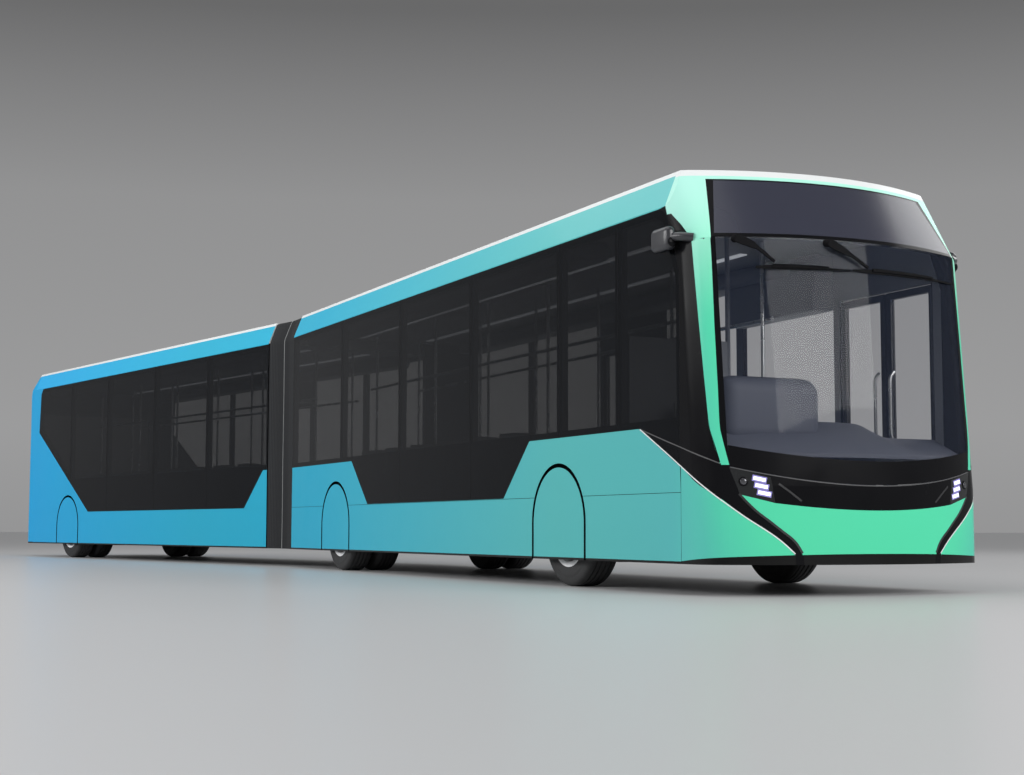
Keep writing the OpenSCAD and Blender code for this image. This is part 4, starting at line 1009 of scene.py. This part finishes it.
class BUS_OT_seats(bpy.types.Operator):
    """Crowned cushions on moulded shells in place of the plain seats"""

    bl_idname = "bus.seats"
    bl_label = "Seats"

    def execute(self, context):
        crown = context.scene.bus_sizes.crown
        for car, (right, left) in SEAT_ROWS.items():
            rows = [(x, -y) for y in SEAT_Y for x in right] + [(x, y) for y in SEAT_Y for x in left]
            label = car.split("_")[0]
            self.seats(f"{label}_seat", rows, car, SEAT_BACK, crown, f"{label}_seats")
        self.seats("driver_seat", [DRIVER_AT], "front_car", DRIVER_BACK, crown, "driver_seat")
        return {"FINISHED"}

    def seats(self, name, rows, car, back_h, crown, node_name):
        """The pads of a group of seats as one piece and their shells as another."""
        pads, shells = [], []
        for x, y in rows:
            at = np.array([x, y, FLOOR_Z])
            pads += [self.cushion(at, crown), self.back(at, back_h, crown)]
            shells += self.shell(at, back_h)
        made = piece(name + "_pads", pads, car, "seat_cloth")
        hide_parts(node_name)
        piece(name + "_shells", shells, car, "seat_shell")

    def pillow(self, size, crown):
        """A crowned pad: rounded rectangles stacked through its thickness, sides drawn in between the
        corners, the top raised by crown times (1-u^2)(1-v^2), with two sewn channels across it."""
        hx, hy, h = size[0] / 2, size[1] / 2, size[2]
        sides = ((0.012, 0.0), (0.0, 0.012), (0.0, h - 0.02), (0.006, h - 0.007), (0.02, h))
        flat = [(rounded_ring(hx - draw, hy - draw, 0.045, 5), z) for draw, z in sides]
        top = rounded_ring(hx - 0.02, hy - 0.02, 0.045, 5)
        flat += [(top * share, h) for share in (0.82, 0.6, 0.4, 0.2, 0.04)]
        rings = np.array([np.column_stack([ring, np.full(len(ring), z)]) for ring, z in flat])
        u, v = rings[..., 0] / hx, rings[..., 1] / hy
        rise = np.clip(1 - u**2, 0, 1) * np.clip(1 - v**2, 0, 1)
        channel = np.exp(-(((np.abs(v) - 0.42) / 0.06) ** 2))
        lift = crown * rise - 0.006 * channel * (rise > 0.02)
        rings[..., 2] += np.where(rings[..., 2] > h - 0.001, lift, 0)
        return rings

    def cushion(self, at, crown):
        """The pad of the seat, lying on its shell."""
        rings = self.pillow((0.42, 0.41, 0.05), crown)
        return loft(rings + at + np.array([0.225, 0, 0.375]))

    def back(self, at, back_h, crown):
        """The pad of the back: the same pad stood up, facing forward."""
        rings = self.pillow((back_h - 0.06, 0.41, 0.04), crown * 0.6)
        height = rings[..., 0] + TRAY_Z + back_h / 2
        return loft(np.stack([rings[..., 2] - 0.047, rings[..., 1], height], -1) + at)

    def shell(self, at, back_h):
        """A moulded tray under the cushion, a tall backshell, a pedestal and a grab handle."""
        tray = block(at + [0.0, -0.215, TRAY_Z], at + [0.45, 0.215, TRAY_Z + 0.018], 0.008, 3)
        back = block(at + [-0.07, -0.215, TRAY_Z], at + [-0.045, 0.215, TRAY_Z + back_h], 0.012, 3)
        post = block(at + [0.09, -0.06, 0.0], at + [0.33, 0.06, TRAY_Z + 0.002], 0.02, 3)
        arc = np.linspace(0, math.pi, 9)
        height = TRAY_Z + back_h - 0.015 + 0.02 * np.sin(arc)
        grip = np.stack([np.full(9, -0.0575), 0.16 * np.cos(arc), height], 1)
        return [tray, back, post, tube(grip + at, 0.009, 8)]


class BUS_OT_front(bpy.types.Operator):
    """Front face: lamps with a painted glow, the lines of the dark sweep with painted highlights,
    painted shadow beside the pillars, the windscreen's black foot and the wipers
    """

    bl_idname = "bus.front"
    bl_label = "Front face"

    # Paths and edges on the front's skin as (x, y, z). Lamp bars and wipers are given as (y, z), and
    # a blade's run as two y and a z
    # SWEEP runs along the sweep's rounded ridge, where a white line is its painted highlight
    SWEEP = ((9.449, -1.25, 1.244), (9.75, -1.25, 1.094), (10.044, -1.25, 0.945),
             (10.375, -1.194, 0.743), (10.493, -1.023, 0.59), (10.608, -0.728, 0.376),
             (10.63, -0.653, 0.305))
    BARS = (((-0.941, 0.849), (-0.845, 0.827)), ((-0.931, 0.798), (-0.832, 0.777)),
            ((-0.912, 0.747), (-0.814, 0.726)))
    ROUND_LAMP = ([-1.001], [0.821])
    # The upper edge of the sweep: a real seam with a painted highlight along it
    UPPER_STOP = (10.06, -1.25, 1.076)
    UPPER = ((9.449, -1.25, 1.244), (9.85, -1.25, 1.134), (10.242, -1.244, 1.026),
             (10.416, -1.139, 0.949))
    # Paths of painted highlight strips: along the sweep's inner bevel, and across a fold by the lamps
    BEVEL = ((10.489, -1.03, 0.733), (10.512, -0.98, 0.674), (10.539, -0.917, 0.609),
             (10.572, -0.829, 0.538), (10.6, -0.741, 0.467), (10.625, -0.665, 0.405),
             (10.633, -0.643, 0.38), (10.646, -0.6, 0.31))
    FOLD_HIGHLIGHT = ((10.592, -0.76, 0.805), (10.618, -0.68, 0.745), (10.64, -0.6, 0.682))
    # Edges of a black sheet under the pillar's blade, showing beside it: painted shadow along the
    # pillar
    PILLAR_OUT = ((10.161, -1.223, 2.612), (10.196, -1.229, 2.214), (10.221, -1.226, 1.999),
                  (10.26, -1.219, 1.714), (10.296, -1.209, 1.502), (10.346, -1.189, 1.233),
                  (10.413, -1.147, 0.96))
    PILLAR_IN = ((10.286, -1.114, 2.612), (10.33, -1.112, 2.133), (10.36, -1.108, 1.803),
                 (10.398, -1.109, 1.382), (10.436, -1.111, 0.96))
    BLADE_OUT = ((10.168, -1.211, 2.616), (10.195, -1.215, 2.44), (10.243, -1.208, 2.044),
                 (10.296, -1.198, 1.619), (10.34, -1.188, 1.268), (10.353, -1.183, 1.199),
                 (10.388, -1.159, 1.071), (10.42, -1.134, 0.94))
    BLADE_IN = ((10.28, -1.122, 2.616), (10.296, -1.121, 2.431), (10.336, -1.127, 1.944),
                (10.377, -1.128, 1.476), (10.394, -1.131, 1.267), (10.401, -1.129, 1.197),
                (10.425, -1.109, 1.07), (10.45, -1.086, 0.94))
    WIPERS = (((-0.96, 2.606), (-0.838, 2.545), (-0.7, 2.43), (-0.83, -0.1, 2.392)),
              ((-0.276, 2.593), (-0.095, 2.503), (0.05, 2.42), (-0.07, 1.03, 2.398)))
    # Widths along a wiper's arm and blade: shares of the length, then the widths there
    ARM_WIDTH = ((0, 0.1, 0.42, 0.5, 1), (0.05, 0.062, 0.05, 0.026, 0.018))
    BLADE_WIDTH = ((0, 0.12, 0.5, 1), (0.012, 0.03, 0.026, 0.01))

    def execute(self, context):
        line_w = context.scene.bus_sizes.line_w
        # On the side with the doors, both lines stop before the doorway
        # White lines on the sweep's ridge: painted highlight
        sweep = [self.on_skin(self.SWEEP, 90, line_w, 0.0015),
                 flipped(self.on_skin(self.SWEEP[2:], 70, line_w, 0.0015))]
        # Grey lines: real seams with a painted highlight on them
        thin = [self.on_skin(self.UPPER, 60, 0.008, 0.0012),
                flipped(self.on_skin((self.UPPER_STOP,) + self.UPPER[2:], 30, 0.008, 0.0012))]
        thin += both_sides([self.on_skin(self.screen_foot(), 40, 0.007, 0.0012)])
        # Painted highlights on the sweep's bevel and on the fold
        highlight_strips = [self.on_skin(self.BEVEL, 50, 0.016, 0.0015),
                  self.on_skin(self.FOLD_HIGHLIGHT, 16, 0.014, 0.0012)]
        # Painted shadow: a black sheet under the blade, along both edges of the pillar
        edge = self.patch(self.PILLAR_OUT, self.PILLAR_IN, 0.0008)
        blade = self.patch(self.BLADE_OUT, self.BLADE_IN, 0.0016)
        bars, halos = [], []
        for (y0, z0), (y1, z1) in self.BARS:
            whole = on_face(np.linspace(y0, y1, 3), np.linspace(z0, z1, 3))
            # A glowing strip round each bar: painted glow of its light
            halos.append(self.on_skin(whole, 14, 0.044, 0.0015))
            inset = on_face(np.linspace(y0 + 0.008, y1 - 0.008, 3),
                            np.linspace(z0 - 0.002, z1 + 0.002, 3))
            bars.append(self.on_skin(inset, 14, 0.024, 0.003))
        eye = on_face(*self.ROUND_LAMP)
        normal = front_normals(eye)[0]
        cup = self.disc(eye[0], normal, 0.034, 0.006)
        lens = self.disc(eye[0], normal, 0.024, 0.009)
        for name, shapes, finish_name, slot in (
            ("sweep_lines", sweep, "white_line", "paint"),
            ("grey_lines", thin, "grey_line", "paint"),
            ("sweep_bevels", both_sides(highlight_strips), "bevel", "black"),
            ("pillar_edges", both_sides([edge]), "gloss_black", "black"),
            ("pillar_blades", both_sides([blade]), "mask_paint", "paint"),
            ("screen_frit", [self.frit()], "gloss_black", "black"),
            ("lamp_bars", both_sides(bars), "led", "lamp"),
            ("lamp_halos", both_sides(halos), "halo", "lamp"),
            ("lamp_bezels", both_sides([cup]), "gloss_black", "black"),
            ("round_lamps", both_sides([lens]), "lamp_chrome", "lamp"),
        ):
            piece(name, shapes, "front_car", finish_name)
        made = piece("wiper_set", self.wipers(), "front_car", "wiper_black")
        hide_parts("wipers")
        return {"FINISHED"}

    def on_skin(self, points, count, width, proud):
        """A flat bar along a smooth path carried to the front's skin."""
        path = on_front(smooth_path(points, count))
        return strip(path, front_normals(path), width, proud)

    def patch(self, left, right, proud, rows=61, across=9):
        """A thin sheet on the front's skin between two edges, with its rows at even heights."""
        z = np.linspace(left[0][2], left[-1][2], rows)
        edges = []
        for edge in (np.array(left), np.array(right)):
            x, y = (np.interp(-z, -edge[:, 2], edge[:, k]) for k in (0, 1))
            edges.append(np.stack([x, y, z], 1))
        share = np.linspace(0, 1, across)[None, :, None]
        flat = (1 - share) * edges[0][:, None] + share * edges[1][:, None]
        skin = on_front(flat.reshape(-1, 3))
        out = front_normals(skin)
        top = (skin + out * proud).reshape(rows, across, 3)
        under = (skin - out * 0.002).reshape(rows, across, 3)
        return loft(np.concatenate([top, under[:, ::-1]], 1))

    def foot_z(self, y):
        """Height of the windscreen's lower edge: an arc that drops by SCREEN_DROP at the middle."""
        arc = (SCREEN_HW**2 + SCREEN_DROP**2) / (2 * SCREEN_DROP)
        return SCREEN_Z - SCREEN_DROP + arc - np.sqrt(arc**2 - y**2)

    def screen_foot(self):
        """The right half of the line just below the windscreen's lower edge: a seam with a painted
        highlight.
        """
        y = np.linspace(-SCREEN_HW + 0.01, 0.0, 12)
        return on_face(y, self.foot_z(y) - 0.004)

    def frit(self):
        """The black band printed along the windscreen's foot: z from its lower edge to
        0.976 + 0.09 y^2."""
        y = np.linspace(-SCREEN_HW + 0.004, SCREEN_HW - 0.004, 61)
        foot, top = on_face(y, self.foot_z(y) + 0.003), on_face(y, 0.976 + 0.09 * y**2)
        out = np.array([0.0008, 0, 0])
        return loft(np.stack([foot - out, foot + out, top + out, top - out], 1))

    def wipers(self):
        """Two wipers: a wide arm head on its spindle, a tapering arm, a blade and its carrier."""
        shapes = []
        for head, neck, tip, (y0, y1, z) in self.WIPERS:
            place = on_face(*np.array([head, neck, tip]).T)
            out = front_normals(place)
            shapes.append(self.disc(place[0] - out[0] * 0.004, out[0], 0.03, 0.034))
            lift = np.array([0.03, 0.034, 0.03])[:, None]
            arm = smooth_path(place + out * lift, 24)
            width = np.interp(np.linspace(0, 1, 24), *self.ARM_WIDTH)
            shapes.append(self.bar(arm, width, 0.016))
            run = on_face(np.linspace(y0, y1, 40), np.full(40, z))
            off = front_normals(run)
            thick = np.interp(np.linspace(0, 1, 40), *self.BLADE_WIDTH)
            shapes.append(self.bar(run + off * 0.011, thick, 0.012))
            carrier = slice(6, 30)
            raised = run[carrier] + off[carrier] * 0.022 + [0, 0, 0.01]
            shapes.append(self.bar(raised, thick[carrier] * 0.8, 0.012))
        return shapes

    def bar(self, path, width, depth):
        """A bar of changing width along a path, flat to the skin: its ring is width by depth."""
        out = front_normals(on_front(path))
        side = np.cross(np.gradient(path, axis=0), out)
        side *= width[:, None] / 2 / np.linalg.norm(side, axis=1)[:, None]
        h = out * depth / 2
        return loft(np.stack([path + side - h, path + side + h, path - side + h, path - side - h], 1))

    def disc(self, place, normal, radius, rise):
        """A shallow dome on the skin: circles of falling radius along the normal."""
        side = np.cross(normal, [0, 0, 1.0])
        side /= np.linalg.norm(side)
        up = np.cross(side, normal)
        turn = np.linspace(0, 2 * math.pi, 24, endpoint=False)[:, None]
        circle = radius * (np.cos(turn) * side + np.sin(turn) * up)
        steps = ((1.0, -0.004), (1.0, rise * 0.5), (0.86, rise * 0.8), (0.5, rise),
                 (0.05, rise * 1.05))
        return loft(np.array([place + normal * h + circle * share for share, h in steps]))


class BUS_OT_mirrors(bpy.types.Operator):
    """Rounded housings of the camera mirrors, with their arms and lenses"""

    bl_idname = "bus.mirrors"
    bl_label = "Camera mirrors"

    ARM = ((10.03, 1.31, 2.64), (10.09, 1.285, 2.64), (10.15, 1.235, 2.63), (10.17, 1.2, 2.625))
    LENS = ((0.001, 0.0), (0.001, 0.006), (0.03, 0.004), (0.036, 0.0))

    def execute(self, context):
        pod = block((9.81, HALF_W + 0.024, 2.545), (10.07, HALF_W + 0.118, 2.725), 0.045, 6)
        arm = tube(smooth_path(self.ARM, 12), 0.034, 16)
        made = piece("mirror_housings", both_sides([pod, arm]), "front_car", "pod_grey")
        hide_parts("camera_mirrors")
        lens = boss(self.LENS, (10.068, HALF_W + 0.07, 2.6), FORWARD, 32)
        piece("mirror_lenses", both_sides([lens]), "front_car", "gloss_black")
        return {"FINISHED"}


class BUS_OT_doors(bpy.types.Operator):
    """Rubber edges and grab bars on the door leaves"""

    bl_idname = "bus.doors"
    bl_label = "Doors"

    def execute(self, context):
        leaf = (DOOR_W - 2 * SIDE_GAP - MEET_GAP) / 2
        for door, (car, x) in DOORS.items():
            aft, fore = x + SIDE_GAP + leaf, x + DOOR_W - SIDE_GAP - leaf
            for name, edge, out in (("aft", aft, 1), ("fore", fore, -1)):
                body = f"{door}_door_{name}"
                near, far = sorted((edge, edge + out * 0.007))
                rubber = block((near, HALF_W - 0.037, 0.38), (far, HALF_W - 0.013, 2.46), 0.003, 3)
                piece(f"{body}_rubber", [rubber], car, "rubber", body)
                z = np.linspace(0, 1, 17)
                bow = 0.045 * np.clip(np.sin(z * math.pi) * 4, 0, 1)
                across = HALF_W - 0.045 - bow
                path = np.stack([np.full(17, edge - out * 0.09), across, 1.2 + 0.6 * z], 1)
                piece(f"{body}_grip", [tube(path, 0.014, 10)], car, "rail_steel", body)
        return {"FINISHED"}


class BUS_OT_tail(bpy.types.Operator):
    """Tail: the rear window's rubber, round lenses, stop lamp, bare plate and hatch latches"""

    bl_idname = "bus.tail"
    bl_label = "Tail"

    # Half the rear window's width, its foot and top, and the width of its rubber
    WINDOW = (1.0, 1.5, 2.5, 0.032)
    LENS = ((0.001, -0.002), (0.001, 0.006), (0.03, 0.0052), (0.048, 0.0025), (0.052, 0.004),
            (0.056, 0.004), (0.058, -0.002))
    LENSES = (("tail_ambers", 1.27, "amber_lens"), ("tail_reds", 1.125, "red_glow"),
              ("tail_whites", 0.98, "clear_lens"))
    LENS_Y = 1.01

    def execute(self, context):
        half, low, high, wide = self.WINDOW
        across = (-half - wide, half + wide)
        edges = ((across, (low - wide, low)), (across, (high, high + wide)),
                 ((-half - wide, -half), (low, high)), ((half, half + wide), (low, high)))
        rubber = [self.slab(y, z, 0.0015, 0.002) for y, z in edges]
        piece("window_rubber", rubber, "rear_car", "rubber")
        for name, z, finish_name in self.LENSES:
            lens = boss(self.LENS, (-TAIL_X, self.LENS_Y, z), REARWARD, 40)
            piece(name, both_sides([lens]), "rear_car", finish_name)
        stop = self.slab((-0.3, 0.3), (2.541, 2.563), 0.004, 0.004)
        piece("stop_lamp", [stop], "rear_car", "red_lens")
        dark = [self.slab((-0.27, 0.27), (0.6, 0.73), 0.004, 0.004)]
        dark += both_sides([self.slab((0.5, 0.62), (0.5, 0.53), 0.005, 0.006)])
        piece("plate_and_latches", dark, "rear_car", "black_trim")
        return {"FINISHED"}

    def slab(self, y, z, proud, r):
        """A low block on the tail's flat face, between two y and two z."""
        return block((-TAIL_X - proud, y[0], z[0]), (-TAIL_X + 0.003, y[1], z[1]), r, 3)


class BUS_OT_roofs(bpy.types.Operator):
    """Lids, louvres and fans of the roof units"""

    bl_idname = "bus.roofs"
    bl_label = "Roof units"

    WELL = ((0.001, 0.0), (0.001, 0.002), (0.3, 0.002), (0.304, 0.0))
    GUARD_RINGS, SPOKE, WIRE = (0.06, 0.12, 0.18, 0.24, 0.3), 0.29, 0.0035
    FAN_Y, LOUVRES, LOUVRE_Z = 0.45, 26, (3.03, 3.12)

    def execute(self, context):
        for car, units in ROOF_UNITS.items():
            label = car.split("_")[0]
            lids, dark, guards = [], [], []
            for x0, x1, hy in units:
                lids.append(block((x0 + 0.01, 0.075 - hy, LID_Z - 0.006),
                                  (x1 - 0.01, hy - 0.075, LID_Z), 0.0025, 3))
                for x in np.linspace(x0 + 0.45, x1 - 0.45, 3):
                    for y in (-self.FAN_Y, self.FAN_Y):
                        dark.append(boss(self.WELL, (x, y, LID_Z), UPWARD, 48))
                        guards += self.fan_guard(x, y)
                low, high = self.LOUVRE_Z
                for x in np.linspace(x0 + 0.1, x1 - 0.1, self.LOUVRES):
                    for y in (-hy, hy):
                        dark.append(block((x - 0.02, y - 0.004, low), (x + 0.02, y + 0.004, high),
                                          0.003, 2))
            piece(f"{label}_unit_lids", lids, car, "roof_white")
            piece(f"{label}_unit_grilles", dark, car, "black_trim")
            piece(f"{label}_fan_guards", guards, car, "unit_grey")
        return {"FINISHED"}

    def fan_guard(self, x, y):
        """A fan's guard: rings and spokes of wire lying on its mouth."""
        turn = np.linspace(0, 2 * math.pi, 33)
        flat = [r * np.stack([np.cos(turn), np.sin(turn)], 1) for r in self.GUARD_RINGS]
        ends = np.linspace(-self.SPOKE, self.SPOKE, 3)[:, None]
        flat += [ends * np.array([math.cos(a), math.sin(a)]) for a in np.arange(4) * math.pi / 4]
        top = LID_Z + 0.003
        return [tube(np.column_stack([wire + [x, y], np.full(len(wire), top)]), self.WIRE, 6)
                for wire in flat]


class BUS_OT_inside(bpy.types.Operator):
    """Ceiling light strips, air ducts and the driver's displays"""

    bl_idname = "bus.inside"
    bl_label = "Inside"

    CABINS = {"front_car": (0.9, 8.3), "rear_car": (-9.0, -0.9)}

    def execute(self, context):
        for car, (x0, x1) in self.CABINS.items():
            label = car.split("_")[0]
            light = block((x0, 0.42, HEADER_Z - 0.012), (x1, 0.5, HEADER_Z - 0.001), 0.004, 3)
            piece(f"{label}_ceiling_lights", both_sides([light]), car, "cabin_light")
            wall = INNER_Y - 0.002
            duct = block((x0, 0.86, HEADER_Z - 0.16), (x1, wall, HEADER_Z - 0.002), 0.06, 5)
            ducts = both_sides([duct])
            if car == "front_car":
                ducts.append(block((7.2, 0.96, 2.4), (8.64, wall, HEADER_Z - 0.01), 0.03, 4))
            piece(f"{label}_ducts", ducts, car, "inner_trim")
        screens = [block((10.03, -0.95, 1.0), (10.068, -0.72, 1.2), 0.01, 3),
                   block((10.03, -0.56, 1.0), (10.068, -0.3, 1.22), 0.01, 3)]
        piece("driver_displays", screens, "front_car", "gloss_black")
        cowl = block((10.06, -1.03, 1.1), (10.32, -0.155, 1.61), 0.129, 10)
        piece("dash_cover", [self.dash(), cowl], "front_car", "dash_plastic")
        return {"FINISHED"}

    def dash(self):
        """The dashboard's cover: a wedge that rises from the windscreen's foot, higher before the
        driver by a smooth step in y."""
        y = np.linspace(-1.05, 1.05, 43)
        top = 1.19 + 0.11 / (1 + np.exp((y - 0.42) / 0.05))
        foot = np.full(43, 1.0)
        front, back = front_x(y, foot) - 0.012, np.full(43, 10.07)
        x = np.stack([back, back, back + 0.03, front - 0.01, front, front], 1)
        z = np.stack([foot, top - 0.03, top, foot + 0.035, foot + 0.02, foot], 1)
        return loft(np.stack([x, np.broadcast_to(y[:, None], x.shape), z], -1))


STEPS = (BUS_OT_stage, BUS_OT_finishes, BUS_OT_bellows, BUS_OT_wheels, BUS_OT_seats, BUS_OT_front,
         BUS_OT_mirrors, BUS_OT_doors, BUS_OT_tail, BUS_OT_roofs, BUS_OT_inside)


class BUS_PT_sidebar(bpy.types.Panel):
    """Lists the steps that dress the bus."""

    bl_idname = "BUS_PT_sidebar"
    bl_label = "Bus"
    bl_space_type = "VIEW_3D"
    bl_region_type = "UI"
    bl_category = "Bus"

    def draw(self, context):
        for step in STEPS:
            self.layout.operator(step.bl_idname)


CLASSES = (BusColours, BusSizes, *STEPS, BUS_PT_sidebar)


def register():
    for each in CLASSES:
        bpy.utils.register_class(each)
    bpy.types.Scene.bus_colours = bpy.props.PointerProperty(type=BusColours)
    bpy.types.Scene.bus_sizes = bpy.props.PointerProperty(type=BusSizes)


def unregister():
    del bpy.types.Scene.bus_sizes
    del bpy.types.Scene.bus_colours
    for each in reversed(CLASSES):
        bpy.utils.unregister_class(each)


def main():
    """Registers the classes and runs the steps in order."""
    register()
    bpy.ops.bus.stage()
    bpy.ops.bus.finishes()
    bpy.ops.bus.bellows()
    bpy.ops.bus.wheels()
    bpy.ops.bus.seats()
    bpy.ops.bus.front()
    bpy.ops.bus.mirrors()
    bpy.ops.bus.doors()
    bpy.ops.bus.tail()
    bpy.ops.bus.roofs()
    bpy.ops.bus.inside()


if __name__ == "__main__":
    main()
